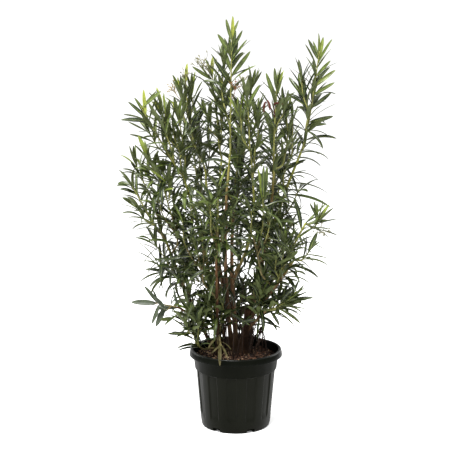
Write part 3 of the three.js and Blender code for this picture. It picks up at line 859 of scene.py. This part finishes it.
# Leaves set singly, on the leaders of some masses: their tips' x, y and z, their lengths, and their
# bends in degrees.
SINGLE_LEAVES = {
    "foliage_top": [
        (-0.012, 0.0, 1.605, 0.1, 3), (-0.039, -0.02, 1.592, 0.085, 4), (0.011, 0.01, 1.587, 0.07, 5),
        (0.025, -0.02, 1.548, 0.085, 8), (-0.069, -0.01, 1.537, 0.1, 8), (0.045, 0.0, 1.514, 0.105, 6),
        (0.056, -0.03, 1.467, 0.125, 12), (-0.026, 0.01, 1.53, 0.095, 4), (0.009, 0.01, 1.512, 0.095, 5),
        (-0.002, -0.01, 1.55, 0.09, 4), (-0.048, -0.01, 1.478, 0.085, 8), (-0.086, 0.0, 1.44, 0.12, 10),
        (-0.073, 0.01, 1.475, 0.1, 8),
    ],
    "foliage_tall_right": [
        (0.319, 0.03, 1.54, 0.1, 3), (0.335, 0.04, 1.524, 0.09, 6), (0.272, 0.01, 1.514, 0.09, 8),
        (0.294, 0.05, 1.509, 0.07, 5), (0.366, 0.02, 1.517, 0.11, 8), (0.36, 0.0, 1.431, 0.085, 10),
        (0.38, 0.03, 1.4, 0.11, 10), (0.374, 0.0, 1.352, 0.1, 8), (0.371, 0.04, 1.307, 0.1, 12),
        (0.373, 0.02, 1.217, 0.1, 12), (0.345, 0.0, 1.195, 0.08, 10), (0.36, 0.02, 1.14, 0.1, 50),
        (0.33, 0.0, 1.103, 0.075, 50), (0.316, 0.0, 1.079, 0.075, 55), (0.357, 0.01, 1.055, 0.105, 58),
        (0.316, 0.0, 0.975, 0.095, 62), (0.354, 0.0, 0.925, 0.14, 40), (0.364, -0.01, 0.872, 0.16, 34),
        (0.255, 0.0, 0.922, 0.07, 30), (0.264, 0.0, 0.985, 0.06, 70),
    ],
    "foliage_tall_right_side": [
        (0.231, 0.0, 1.388, 0.1, 8), (0.224, 0.0, 1.336, 0.1, 12), (0.254, -0.01, 1.376, 0.09, 6),
    ],
    "foliage_left_top": [
        (-0.356, -0.1, 1.333, 0.1, 6), (-0.301, -0.08, 1.324, 0.08, 4), (-0.278, -0.1, 1.325, 0.1, 6),
        (-0.383, -0.09, 1.302, 0.09, 5), (-0.432, -0.1, 1.22, 0.11, 12), (-0.405, -0.1, 1.288, 0.1, 8),
    ],
    "foliage_left_back_spire": [(-0.191, 0.13, 1.421, 0.08, 3)],
    "foliage_left_spire": [(-0.185, 0.11, 1.385, 0.115, 10), (-0.172, 0.12, 1.405, 0.1, 5)],
    "foliage_right_inner_top": [(0.17, -0.09, 1.4, 0.1, 3), (0.11, -0.09, 1.396, 0.113, 4)],
    "foliage_front_right": [
        (0.08, -0.19, 1.05, 0.1, 5), (0.12, -0.18, 1.055, 0.1, 8), (0.1, -0.2, 1.06, 0.09, 3),
    ],
    "foliage_right_out": [
        (0.308, -0.08, 0.902, 0.085, 10), (0.361, -0.08, 0.895, 0.1, 6), (0.347, -0.08, 0.835, 0.09, 15),
        (0.275, -0.09, 0.9, 0.08, 8), (0.3, -0.09, 0.81, 0.08, 20),
    ],
    "foliage_low_left": [
        (-0.406, -0.08, 0.515, 0.1, 8), (-0.355, -0.08, 0.574, 0.08, 5), (-0.321, -0.07, 0.56, 0.055, 5),
        (-0.321, -0.09, 0.43, 0.077, 8), (-0.3, -0.08, 0.436, 0.068, 8), (-0.303, -0.07, 0.409, 0.1, 14),
    ],
    "foliage_front_rim": [
        (-0.063, -0.19, 0.292, 0.12, 4), (-0.034, -0.185, 0.318, 0.085, 22),
        (-0.018, -0.175, 0.35, 0.095, 30), (-0.088, -0.16, 0.328, 0.06, 18),
        (-0.108, -0.14, 0.345, 0.09, 34),
    ],
}
LEAF_SIZES = [0.5, 0.9, 1.25], [0.095, 0.122, 0.122]  # by the height of a mass's tip
HEAD_STARTS = [0.6, 0.95, 1.25], [2.0, 6.0, 0.0]  # by the height of a shoot's tip, and so for these:
DROOPS = [0.6, 0.9], [0.5, 1.0]
TONE_SHIFTS = [0.4, 0.6, 0.85, 1.2], [1.2, 0.75, 0.3, 1.0]
WIDTHS = [0.6, 0.9, 1.2], [1.15, 0.85, 0.98]
# Twigs are green above this height. Those of a lower mass are green to this far below its tip.
GREEN_FROM, GREEN_TIP = 0.85, 0.16
LEAFY, LEAFY_WITH_LIMB = 0.5, 0.85  # how far down a shoot its leaves go, alone or with its limb
THICKET_CLOSENESS = 0.7  # how much closer than elsewhere whorls stand in thickets
OWN_SLACK = 0.02  # leaves that stand at most this far below a mass's root are kept close to it
# Leaf tips stay above these heights over the pot, and round it as far out as RIM_REACH.
MULCH_CLEARANCE, RIM_CLEARANCE, RIM_REACH = 0.352, 0.325, 0.215
CLEARING = (-0.045, -0.25, 0.38), (0.016, 0.0, 0.7)  # the space before the stems
CLEARED = 0.5  # share of its leaves that are missing
TURNS = [0.6, 0.9], [0.55, 0.26]  # how far leaves turn about their own line, in radians


def leaves_of_shoot(name, path, radii, rng, leads=False, limb=None):
    """Blocks of leaves for one shoot of a mass. A leader's go on down the limb it carries on from."""
    traits = traits_of(name)
    axis, girths = MASSES[name]
    mass_tip, tip = axis[-1][2], path[-1][2]
    own_from = np.argmin(np.linalg.norm(path - axis[0], axis=1))
    leafy = LEAFY
    if limb is not None:
        limb_path, limb_radii = resample(*LIMBS[limb], SHOOT_SPACING)
        path = np.vstack([limb_path[:-1], path])
        radii = np.concatenate([limb_radii[:-1], radii])
        own_from += len(limb_path) - 1
        leafy = LEAFY_WITH_LIMB
    bare = traits["bare"] if leads else 0.0
    closeness = THICKET_CLOSENESS if mass_tip < THICKET_HEIGHT and bare == 0 else 1.0
    rows = whorls(path, radii, bare, leafy, closeness, rng)
    rows = [row for row in rows if rng.random() < traits["keep"]] or rows[-1:]
    size = traits.get("size", np.interp(mass_tip, *LEAF_SIZES)) * rng.uniform(0.92, 1.1)
    shift = traits["tone"] + np.interp(tip, *TONE_SHIFTS) + rng.normal(0, 0.45)
    head_start = traits.get("age", np.interp(tip, *HEAD_STARTS))
    droop = traits["droop"] * np.interp(tip, *DROOPS)
    turn = np.interp(tip, *TURNS)
    width = traits["width"] * np.interp(tip, *WIDTHS)
    leaves = leaves_on(rows, size, width, droop, turn, shift, head_start, rng)
    leaves["own"] = (leaves["base"] - path[own_from]) @ unit(axis[-1] - axis[0]) > -OWN_SLACK
    blocks = [rein_in(leaves, axis, girths)]
    if leads and name in SINGLE_LEAVES:
        blocks.append(set_leaves(SINGLE_LEAVES[name], path, radii, traits["width"], shift, rng))
    for block in blocks:
        block["kind"] = np.full(len(block["tone"]), traits["kind"])
    return blocks


def leaves_that_stay(name, leaves):
    """The leaves clear of the mulch and the rim, with fewer in the space before the stems."""
    line, tip, _, _ = blade_frames(leaves)
    off_axis = np.hypot(tip[:, 0], tip[:, 1])
    low = (tip[:, 2] < MULCH_CLEARANCE) & (off_axis < RIM_RADIUS)
    low = low | (tip[:, 2] < RIM_CLEARANCE) & (off_axis < RIM_REACH)
    spots = np.stack([tip, line[:, len(STATIONS) // 2]])
    veil = ((spots > CLEARING[0]) & (spots < CLEARING[1])).all(axis=2).any(axis=0)
    kept = ~low & ~(veil & (seeded(name + " veil").random(len(tip)) < CLEARED))
    return {key: values[kept] for key, values in leaves.items()}


def foliage(name):
    """Replaces a mass by its shoots and leaves."""
    rng = seeded(name)
    path, radii, limb = leader_of(name)
    sides = side_shoots(name, (path, radii), rng)
    blocks = leaves_of_shoot(name, path, radii, rng, leads=True, limb=limb)
    for shoot in sides:
        blocks += leaves_of_shoot(name, *shoot, rng)
    leaves = {key: np.concatenate([block[key] for block in blocks]) for key in blocks[0]}
    if name not in HANGING:
        leaves = leaves_that_stay(name, leaves)
    vertices, quads, triangles, quad_paint, triangle_paint = leaf_mesh(leaves)
    add_piece(
        name.replace("foliage", "leaves"), vertices, [quads, triangles], LEAF_MATERIALS,
        face_materials=[quad_paint, triangle_paint], replaces=[name], sharp=50,
    )
    stems, four, three = join([tube(*shoot, 8) for shoot in [(path, radii), *sides]])
    green = stems[four[:, 0], 2] > min(path[-1][2] - GREEN_TIP, GREEN_FROM)
    paint = np.where(green & (name not in DULL_STEMS), 0, 1)
    add_piece(
        name.replace("foliage", "twigs"), stems, [four, three], [SHOOT_GREEN, SHOOT_BROWN],
        face_materials=[paint, np.zeros(len(three), dtype=int)],
    )


# ---- Dried flower heads and pods ----

# Where an old flower head stands: the mass whose leader carries it, its place, its size, its matter.
FLOWER_HEADS = [
    ("foliage_left_spire", (-0.128, 0.11, 1.405), 0.07, "stalk"),
    ("foliage_left_spire", (-0.105, 0.1, 1.39), 0.06, "stalk"),
    ("foliage_left_back_spire", (-0.236, 0.12, 1.305), 0.055, "tan"),
    ("foliage_left_back_spire", (-0.2, 0.12, 1.36), 0.04, "stalk"),
    ("foliage_top", (-0.004, -0.03, 1.325), 0.045, "rust"),
    ("foliage_centre_top", (0.026, -0.132, 1.36), 0.035, "stalk"),
    ("foliage_right_out", (0.315, -0.12, 0.795), 0.06, "stalk"),
]
POD_SPACING = 0.004
# For each pod: the mass whose leader carries it, the end of its stalk, and the way to its tip.
PODS = [
    ("foliage_right_inner_top", (0.113, -0.1, 1.285), (-0.008, -0.012, -0.036)),
    ("foliage_right_inner_top", (0.118, -0.1, 1.29), (0.004, -0.016, -0.03)),
    ("foliage_right_inner_top", (0.142, -0.09, 1.275), (0.032, -0.006, 0.004)),
]


def carried_by(leader, place):
    """A thin stalk from a shoot up to a place beside it."""
    below = place - 0.07 * UP
    index = np.linalg.norm(leader - below, axis=1).argmin()
    index = min(max(index, 1), len(leader) - 2)
    way = unit(leader[index + 1] - leader[index - 1])
    return curved_twig(leader[index], way, place, unit(place - leader[index] + 0.03 * UP))


def flower_head(leader, place, size, rng):
    """A stalk that forks into a fan of thin dry branches, each with a few withered tips."""
    stalk = carried_by(leader, place)
    parts = [tapered(stalk, 0.0015, 0.0011, 6)]
    way = unit(stalk[-1] - stalk[-2])
    turn = rng.uniform(0, 2 * np.pi)
    for _ in range(8):
        turn += GOLDEN_TURN
        lean = math.radians(rng.uniform(12, 50))
        side = square_to(np.array([math.cos(turn), math.sin(turn), 0.05]), way)
        out = unit(way * math.cos(lean) + side * math.sin(lean))
        start = stalk[-1] - way * size * rng.uniform(0.0, 0.25)
        end = start + out * size * rng.uniform(0.55, 1.0) + 0.004 * UP
        branch = curved_twig(start, way, end, unit(out + 0.4 * UP))
        parts.append(tapered(branch, 0.0009, 0.0007, 5))
        for _ in range(3):
            fork = unit(out + rng.normal(0, 0.45, 3))
            root = branch[rng.integers(3, len(branch))]
            tip = root + fork * size * rng.uniform(0.16, 0.3)
            bud = np.linspace(0, 1, 6)[:, None] * (tip - root) + root
            parts.append(tube(bud, np.array([0.0006, 0.0006, 0.0007, 0.0017, 0.0019, 0.0004]), 6))
    return parts


def pod(leader, place, lean, rng):
    """A long narrow seed pod that curves up from its stalk."""
    stalk = carried_by(leader, place)
    way_out, way_in = unit(stalk[-1] - stalk[-3]), unit(lean + rng.normal(0, 0.015, 3))
    line = smoothed(curved_twig(stalk[-1], way_out, stalk[-1] + lean, way_in), POD_SPACING)
    t = np.linspace(0, 1, len(line))
    swell = 0.0042 * np.sin(np.pi * np.clip(t * 0.94 + 0.05, 0, 1)) ** 0.6 + 0.0004
    return [tapered(stalk, 0.0012, 0.0012, 6), tube(line, swell, 10)]


def flower_heads_and_pods():
    matter = {
        "stalk": plain_material("stalk_dry", (0.12, 0.115, 0.06), 0.8),
        "tan": plain_material("stalk_tan", (0.2, 0.15, 0.05), 0.8),
        "rust": plain_material("flower_rust", (0.12, 0.055, 0.02), 0.8),
    }
    for number, (mass, place, size, kind) in enumerate(FLOWER_HEADS):
        parts = flower_head(leader_of(mass)[0], np.array(place), size, seeded(f"flower head {number}"))
        add_joined(f"flower_head_{number + 1}", parts, matter[kind])
    parts = []
    for number, (mass, place, lean) in enumerate(PODS):
        parts += pod(leader_of(mass)[0], np.array(place), np.array(lean), seeded(f"pod {number}"))
    add_joined("seed_pods", parts, POD_RED)


# ---- Trunk and boughs ----

SCAR_SPACING = 0.03
BROWN_LONG = {"cane_centre_tall", "cane_centre_back", "cane_right"}  # canes that stay brown higher up
SHADED = {"cane_front_left"}  # and one as dark as the trunk
THICK = 0.02
THICK_SKIN, THIN_SKIN = (0.0025, 28, 0.05), (0.004, 16, 0.028)  # spacing of rings, sides, roughness


def bark_relief(rng, rough):
    """The share of the radius at a place on a stem: ridges, knobs, and a swelling at every leaf scar."""
    phases = rng.uniform(0, 2 * np.pi, 6)

    def relief(s, angle):
        ridges = 0.5 * np.sin(3 * angle + 7 * s + phases[0])
        ridges = ridges + 0.4 * np.sin(5 * angle - 21 * s + phases[1])
        ridges = ridges + 0.3 * np.sin(8 * angle + 55 * s + phases[2])
        knobs = np.sin(2 * angle + 31 * s + phases[3]) * np.sin(47 * s + phases[4])
        to_scar = (s / SCAR_SPACING + 0.5) % 1.0 - 0.5
        whorl = np.floor(s / SCAR_SPACING + 0.5)
        scar = np.exp(-((to_scar * SCAR_SPACING / 0.0028) ** 2))
        scar = scar * (0.6 + 0.4 * np.cos(3 * (angle - whorl * np.pi / 3) + phases[5]))
        return 1 + rough * (ridges + 0.8 * knobs) + 0.1 * scar

    return relief


def parent_point(name, foot):
    """A point inside the limb that this one grows from, or none for a limb that stands in the soil."""
    if foot[2] < SOIL_TOP + 0.01:
        return None
    choices = []
    for limb, (points, radii) in LIMBS.items():
        if limb != name:
            fine, girths = resample(points, radii, 0.01)
            gaps = np.linalg.norm(fine - foot, axis=1) - girths
            choices.append((gaps.min(), fine[max(0, gaps.argmin() - 3)]))
    return min(choices, key=lambda choice: choice[0])[1]


def bark(name):
    points, radii = LIMBS[name]
    inside = parent_point(name, points[0])
    if inside is None:
        inside = points[0] - 0.02 * UP
        radii = np.concatenate([radii[:1] * 1.12, radii[1:]])
    points = np.vstack([inside, points])
    radii = np.concatenate([radii[:1], radii])
    thick = radii.max() > THICK
    spacing, sides, roughness = THICK_SKIN if thick else THIN_SKIN
    fine, girths = resample(points, radii, spacing)
    girths = girths * np.interp(fine[:, 2], *SLIMMING)
    if thick:
        tail = np.arange(1, 5)
        fine = np.vstack([fine, fine[-1] + unit(fine[-1] - fine[-3]) * 0.003 * tail[:, None]])
        girths = np.concatenate([girths, girths[-1] * np.sqrt(1 - (tail / 4.4) ** 2)])
    vertices, quads, caps = tube(fine, girths, sides, bark_relief(seeded(name), roughness))
    skin = TRUNK_BARK if thick or name in SHADED else LONG_BARK if name in BROWN_LONG else BARK
    add_piece("bark_" + name, vertices, [quads, caps], [skin], replaces=[name])


SUCKERS = 20
# Two clumps of dark shoots that stand for the deep shade beside the stems, as painted shade: the middle
# of their feet, where their tops meet, how wide their feet stand, and how far their tops stand apart.
SHADE_CLUMPS = [
    ((0.072, 0.035), (0.1, 0.0, 0.39), 0.045, 0.006),
    ((-0.012, 0.075), (-0.012, 0.06, 0.52), 0.045, 0.03),
]
SHADE_CLUMP_SHOOTS = 7
SUCKER_DEPTH = 0.015
SUCKER_RADII, FORK_RADII, SHADE_CLUMP_RADII = (0.0029, 0.0014), (0.0016, 0.001), (0.0036, 0.0022)


def suckers():
    """Thin dark shoots, each with two forks, that rise from the soil round the trunk's foot, and two
    clumps of plain ones, dark shoots that are painted shade beside the stems."""
    rng = seeded("suckers")
    parts = []
    for number in range(SUCKERS):
        turn = number * GOLDEN_TURN
        reach = rng.uniform(0.045, 0.115)
        foot = np.array([math.cos(turn) * reach, math.sin(turn) * reach + 0.02, SOIL_TOP - SUCKER_DEPTH])
        top = foot + np.array([foot[0] * 0.5, foot[1] * 0.5, 0.0]) + rng.normal(0, 0.02, 3)
        top[2] = SOIL_TOP + rng.uniform(0.1, 0.26)
        line = curved_twig(foot, UP, top, unit(top - foot + rng.normal(0, 0.03, 3)))
        parts.append(tapered(line, *SUCKER_RADII, 7))
        for _ in range(2):
            root = line[rng.integers(3, 7)]
            tip = root + np.array([*rng.normal(0, 0.025, 2), rng.uniform(0.02, 0.06)])
            fork = curved_twig(root, UP, tip, unit(tip - root + 0.02 * UP))
            parts.append(tapered(fork, *FORK_RADII, 6))
    for (x, y), meeting, width, apart in SHADE_CLUMPS:
        for place in np.linspace(-width, width, SHADE_CLUMP_SHOOTS):
            foot = np.array([x + place, y + rng.normal(0, 0.012), SOIL_TOP - SUCKER_DEPTH])
            top = np.array(meeting) + rng.normal(0, apart, 3)
            line = curved_twig(foot, unit(UP + rng.normal(0, 0.15, 3)), top, unit(top - foot))
            parts.append(tapered(line, *SHADE_CLUMP_RADII, 7))
    # The same near-black bark serves the suckers and, as painted shade, the two clumps.
    dark = plain_material("sucker_bark_and_painted_shade", (0.02, 0.012, 0.008), 0.75, gloss=0.1)
    add_joined("suckers", parts, dark)


# ---- Pot and mulch ----

POT_HEIGHT = 0.31
RIM_RADIUS, RIM_TOP, RIM_INNER, RIM_DEPTH, RIM_STRAIGHT = 0.184, 0.178, 0.169, 0.025, 0.009
RIM_UNDER_ROUND, RIM_OUTER_ROUND, RIM_INNER_ROUND = 0.0018, 0.004, 0.003
NECK_TOP, NECK_BOTTOM = 0.168, 0.162
STEP, STEP_ROUND = 0.232, 0.002  # height of the ledge under the neck, and how round its edge is
BODY_TOP, BODY_BOTTOM, FOOT_ROUND = 0.1565, 0.136, 0.009
FLUTES, FLUTE_HALF, FLUTE_EDGE, FLUTE_TURN = 12, 7.5, 1.0, -6.6  # the angles in degrees
FLUTE_DEPTH, FLUTE_FOOT = 0.004, 0.044
NOTCHES, NOTCH_WIDTH, NOTCH_HEIGHT, NOTCH_DEPTH, NOTCH_TURN = 6, 0.032, 0.012, 0.025, -4.5
NOTCH_HALF = math.degrees(NOTCH_WIDTH / 2 / BODY_BOTTOM)
SOIL_TOP = 0.285
WALL, FLOOR = 0.004, 0.014
HUB = 0.02  # radius of the smallest ring of the floor and the underside
BODY_LOOK, RIM_LOOK, EDGE_LOOK, NECK_LOOK = range(4)


def body_radius(z):
    return BODY_BOTTOM + (BODY_TOP - BODY_BOTTOM) * z / STEP


def rounded(radius, z, bend, start, end, steps=5):
    """Points of an arc with bend for its radius, from one angle to another, in degrees."""
    angles = np.radians(np.linspace(start, end, steps))
    return [(radius + bend * math.cos(a), z + bend * math.sin(a)) for a in angles]


def pot_profile():
    """The pot's outline from the foot up, over the rim and down inside, and where its stretches end."""
    foot = body_radius(0)
    body = [(HUB, 0.0), (foot - 0.03, 0.0)]
    body += rounded(foot - FOOT_ROUND, FOOT_ROUND, FOOT_ROUND, -90, 4, 8)
    body += [(body_radius(z), z) for z in np.linspace(0.016, STEP - 0.006, 34)]
    ledge = rounded(body_radius(STEP) - STEP_ROUND, STEP - STEP_ROUND, STEP_ROUND, 0, 80)
    ledge += [(NECK_BOTTOM - 0.0035, STEP + 0.0006)]
    # The neck stands out over the body, and the rim over the neck.
    under = POT_HEIGHT - RIM_DEPTH
    neck = [(NECK_BOTTOM - 0.001, STEP + 0.001), (NECK_BOTTOM, STEP + 0.003)]
    neck += [(NECK_TOP - 0.0004, under - 0.002), (NECK_TOP + 0.001, under)]
    rim = rounded(RIM_RADIUS - RIM_UNDER_ROUND, under + RIM_UNDER_ROUND, RIM_UNDER_ROUND, -90, 0, 4)
    rim += [(RIM_RADIUS, under + 0.5 * RIM_STRAIGHT), (RIM_RADIUS - 0.0004, under + RIM_STRAIGHT)]
    lip = rounded(RIM_TOP - 0.0022, POT_HEIGHT - RIM_OUTER_ROUND, RIM_OUTER_ROUND, 15, 90, 7)
    bend = RIM_INNER_ROUND
    inside = rounded(RIM_INNER + bend, POT_HEIGHT - bend, bend, 90, 180)
    inside += [(RIM_INNER - 0.0024, POT_HEIGHT - 0.014), (NECK_BOTTOM - WALL, STEP + 0.004)]
    inside += [(body_radius(STEP) - WALL - 0.004, STEP - 0.004)]
    inside += [(body_radius(FLOOR) - WALL - 0.004, FLOOR)]
    stretches = [body, ledge, neck, rim, lip, [*inside, (HUB, FLOOR)]]
    return np.array(sum(stretches, [])), np.cumsum([len(stretch) for stretch in stretches])


def edges_round(count, turn, offsets):
    """Angles at these offsets to both sides of count places round the pot."""
    middles = [turn + 360 * k / count for k in range(count)]
    steps = [side * offset for side in (-1, 1) for offset in offsets]
    return [(middle + step) % 360 for middle in middles for step in steps]


def off_nearest(degrees, count, turn):
    """How far these angles are from the nearest of count places round the pot."""
    apart = 360 / count
    return np.abs((degrees - turn + apart / 2) % apart - apart / 2)


def pot():
    """The pot as one turned skin, with its flutes and drainage notches."""
    profile, (body_end, ledge_end, neck_end, rim_end, lip_end, _) = pot_profile()
    degrees = np.unique(np.round([
        *np.arange(0, 360, 1.5),
        *edges_round(FLUTES, FLUTE_TURN, FLUTE_HALF + FLUTE_EDGE * np.linspace(-1, 1, 5)),
        *edges_round(NOTCHES, NOTCH_TURN, (NOTCH_HALF, NOTCH_HALF + 0.1)),
    ], 3))
    into_edge = off_nearest(degrees, FLUTES, FLUTE_TURN) - FLUTE_HALF + FLUTE_EDGE
    sunk = 1 - smoothstep(into_edge / (2 * FLUTE_EDGE))
    cut = off_nearest(degrees, NOTCHES, NOTCH_TURN) <= NOTCH_HALF + 0.01

    sides = len(degrees)
    radius = np.repeat(profile[:, :1], sides, axis=1)
    height = np.repeat(profile[:, 1:], sides, axis=1)
    outside = np.arange(len(profile))[:, None] < ledge_end
    deep = smoothstep((height - FLUTE_FOOT) / 0.02) * smoothstep((STEP - 0.001 - height) / 0.0035)
    radius = radius - FLUTE_DEPTH * deep * sunk * outside
    notched = outside & cut & (height < NOTCH_HEIGHT) & (radius > BODY_BOTTOM - 0.05)
    radius = np.where(notched, np.minimum(radius, BODY_BOTTOM - NOTCH_DEPTH), radius)
    turn = np.radians(degrees)
    rings = np.stack([radius * np.cos(turn), radius * np.sin(turn), height], axis=-1)
    vertices, quads, caps = closed_skin(rings, [0 * UP, FLOOR * UP])

    row = np.arange(len(profile) - 1)
    look = np.full(len(row), BODY_LOOK)
    look[row >= ledge_end] = NECK_LOOK
    look[row >= neck_end - 1] = RIM_LOOK
    look[(row >= rim_end) & (row < lip_end - 1)] = EDGE_LOOK
    look[(row > body_end) & (row < ledge_end - 1)] = EDGE_LOOK
    looks = [
        pot_material("pot_body", 0.4, 0.05, (1.0, 1.0, 0.82)),
        pot_material("pot_rim", 0.26, 0.018, (0.92, 0.96, 1.0)),
        pot_material("pot_edge", 0.3, 0.14, (1.0, 1.0, 0.97)),
        pot_material("pot_neck", 0.42, 0.02, (1.0, 1.0, 0.85)),
    ]
    paint = [np.repeat(look, sides), np.zeros(len(caps), dtype=int)]
    add_piece("nursery_pot", vertices, [quads, caps], looks, paint, replaces=["pot"], sharp=32)


BED_DROP, BED_DEPTH = 0.0045, 0.03  # the mulch's mean surface and underside, below the soil's top
BED_HUB, BED_RADIUS = 0.004, 0.164


def mulch_height(x, y):
    """The mulch's top: lumpy, a little lower towards the pot's wall."""
    lumps = 0.5 * np.sin(61 * x + 1.3) * np.sin(53 * y + 0.4) + 0.35 * np.sin(127 * x - 88 * y)
    lumps = lumps + 0.25 * np.sin(211 * y + 97 * x + 2.0)
    edge = smoothstep((np.hypot(x, y) - 0.1) / 0.06)
    return SOIL_TOP - BED_DROP + 0.0035 * lumps - 0.004 * edge


def mulch():
    radii = np.linspace(BED_HUB, BED_RADIUS, 46)[:, None]
    turn = ring_angles(180)
    x, y = radii * np.cos(turn), radii * np.sin(turn)
    rings = np.stack([x, y, mulch_height(x, y)], axis=-1)
    skirt = rings[-1:] * np.array([0.985, 0.985, 1.0]) - BED_DEPTH * UP
    floor = skirt * np.array([0.02, 0.02, 1.0])
    ends = [(SOIL_TOP - BED_DROP) * UP, (SOIL_TOP - BED_DEPTH) * UP]
    # The rings go outwards over the top and in again underneath, so every face is turned over.
    vertices, quads, caps = closed_skin(np.concatenate([rings, skirt, floor]), ends)
    soil = plain_material("mulch_bed", (0.018, 0.008, 0.005), 0.9, scale=240.0, vary=0.6, relief=0.9)
    faces = [quads[:, ::-1], caps[:, [0, 2, 1]]]
    add_piece("mulch_bed", vertices, faces, [soil], replaces=["soil"])
    chips()


CHIP_COLOURS = [(0.014, 0.007, 0.004), (0.036, 0.016, 0.008), (0.07, 0.031, 0.016), (0.26, 0.17, 0.1)]
CHIP_SHARES = [0.36, 0.36, 0.23, 0.05]
PALE_CHIP = 3
CHIPS = 1900
CHIPS_SPREAD, CHIPS_REACH = 0.16, 0.1625  # how far out their middles and their corners lie
CHIP_OUTLINE = np.array([(-1, -0.6), (0.2, -1), (1, -0.3), (0.7, 0.9), (-0.6, 1)])


def chips():
    """Flakes of bark that lie over each other on the mulch, with more of the pale ones on the left."""
    rng = seeded("chips")
    reach = CHIPS_SPREAD * np.sqrt(rng.random(CHIPS))
    turn = rng.uniform(0, 2 * np.pi, CHIPS)
    x, y = reach * np.cos(turn), reach * np.sin(turn)
    centre = np.stack([x, y, mulch_height(x, y) + rng.uniform(0.0, 0.0045, CHIPS)], axis=-1)
    spans = [(0.006, 0.02), (0.003, 0.009), (0.001, 0.0025)]
    size = np.stack([rng.uniform(least, most, CHIPS) for least, most in spans], axis=-1)
    heading = rng.uniform(0, 2 * np.pi, CHIPS)
    tilt = [rng.normal(0, 0.3, CHIPS) for _ in range(2)]
    normal = unit(np.stack([*tilt, np.ones(CHIPS)], axis=-1))
    along = square_to(np.stack([np.cos(heading), np.sin(heading), np.zeros(CHIPS)], axis=-1), normal)
    across = np.cross(normal, along)
    corner = len(CHIP_OUTLINE)
    below = np.column_stack([CHIP_OUTLINE, -np.ones(corner)])
    corners = np.vstack([below, below * np.array([0.88, 0.88, -1])])
    place = corners[None] * size[:, None] * rng.uniform(0.75, 1.25, (CHIPS, 2 * corner, 3)) / 2
    vertices = centre[:, None] + place[..., :1] * along[:, None] + place[..., 1:2] * across[:, None]
    vertices = vertices + place[..., 2:] * normal[:, None]
    outside = np.hypot(vertices[..., 0], vertices[..., 1])[..., None] / CHIPS_REACH
    vertices[..., :2] /= np.maximum(outside, 1.0)
    first = (np.arange(CHIPS) * 2 * corner)[:, None, None]
    ends = [(5, 6, 7), (5, 7, 8), (5, 8, 9), (0, 2, 1), (0, 3, 2), (0, 4, 3)]
    quads = (rings_to_faces(2, corner)[None] + first).reshape(-1, 4)
    triangles = (np.array(ends)[None] + first).reshape(-1, 3)
    colour = rng.choice(len(CHIP_COLOURS), CHIPS, p=CHIP_SHARES)
    paler_on_left = (x < -0.02) & (rng.random(CHIPS) < 0.3)
    colour = np.where(paler_on_left, PALE_CHIP, colour)
    materials = [plain_material(f"chip_{k}", c, 0.85, scale=300.0) for k, c in enumerate(CHIP_COLOURS)]
    paint = [np.repeat(colour, corner), np.repeat(colour, len(ends))]
    add_piece("bark_chips", vertices.reshape(-1, 3), [quads, triangles], materials, paint)


# ---- Stage ----

CAMERA_AT = (-0.0386, -4.8, 1.66)
CAMERA_DOWN = 10.17  # degrees below the horizon
WHITE = (1.0, 1.0, 1.0, 1.0)
STUDIO_LIGHT = 1.08
FLOOR_REACH = 30.0
FLOOR_GLOW = 0.15  # light of its own, so that the floor stays white beside the pot


def area_light(name, place, aim, size, power):
    light = bpy.data.lights.new(name, "AREA")
    light.shape = "DISK"
    light.size = size
    light.energy = power
    lamp = bpy.data.objects.new(name, light)
    bpy.context.scene.collection.objects.link(lamp)
    back = unit(np.array(place) - np.array(aim))
    side = unit(np.cross(UP, back))
    high = np.cross(back, side)
    lamp.matrix_world = Matrix.Translation(place) @ Matrix(np.stack([side, high, back], axis=1)).to_4x4()


def stage():
    scene = bpy.context.scene
    scene.view_settings.view_transform = "Standard"
    world = bpy.data.worlds.new("studio")
    world.use_nodes = True
    feed(world.node_tree, world.node_tree.nodes["Background"], {"Color": WHITE, "Strength": STUDIO_LIGHT})
    scene.world = world
    mesh = bpy.data.meshes.new("floor")
    corners = [(x * FLOOR_REACH, y * FLOOR_REACH, 0) for x, y in ((-1, -1), (1, -1), (1, 1), (-1, 1))]
    mesh.from_pydata(corners, [], [(0, 1, 2, 3)])
    material, tree, shader = new_material("floor")
    feed(tree, shader, {
        "Base Color": (0.96, 0.96, 0.96, 1.0),
        "Roughness": 1.0,
        "Specular IOR Level": 0.0,
        "Emission Color": WHITE,
        "Emission Strength": FLOOR_GLOW,
    })
    mesh.materials.append(material)
    floor = bpy.data.objects.new("floor", mesh)
    scene.collection.objects.link(floor)
    area_light("key", (-1.0, -2.3, 4.6), (0.0, 0.0, 0.9), 1.6, 520)
    area_light("left_back", (-3.0, 1.2, 1.4), (0.0, 0.0, 0.4), 1.6, 70)
    area_light("right_back", (2.8, 1.6, 1.6), (0.3, 0.3, 0.1), 2.0, 60)
    camera_data = bpy.data.cameras.new("camera")
    camera_data.lens = 100.0
    camera_data.sensor_width = 36.0
    camera = bpy.data.objects.new("camera", camera_data)
    camera.location = CAMERA_AT
    camera.rotation_euler = (math.radians(90 - CAMERA_DOWN), 0.0, 0.0)
    scene.collection.objects.link(camera)
    scene.camera = camera


# ---- All together ----

for limb_name in LIMB_NAMES:
    bark(limb_name)
for mass_name in MASS_NAMES:
    foliage(mass_name)
flower_heads_and_pods()
suckers()
pot()
mulch()
stage()

bpy.context.view_layer.update()
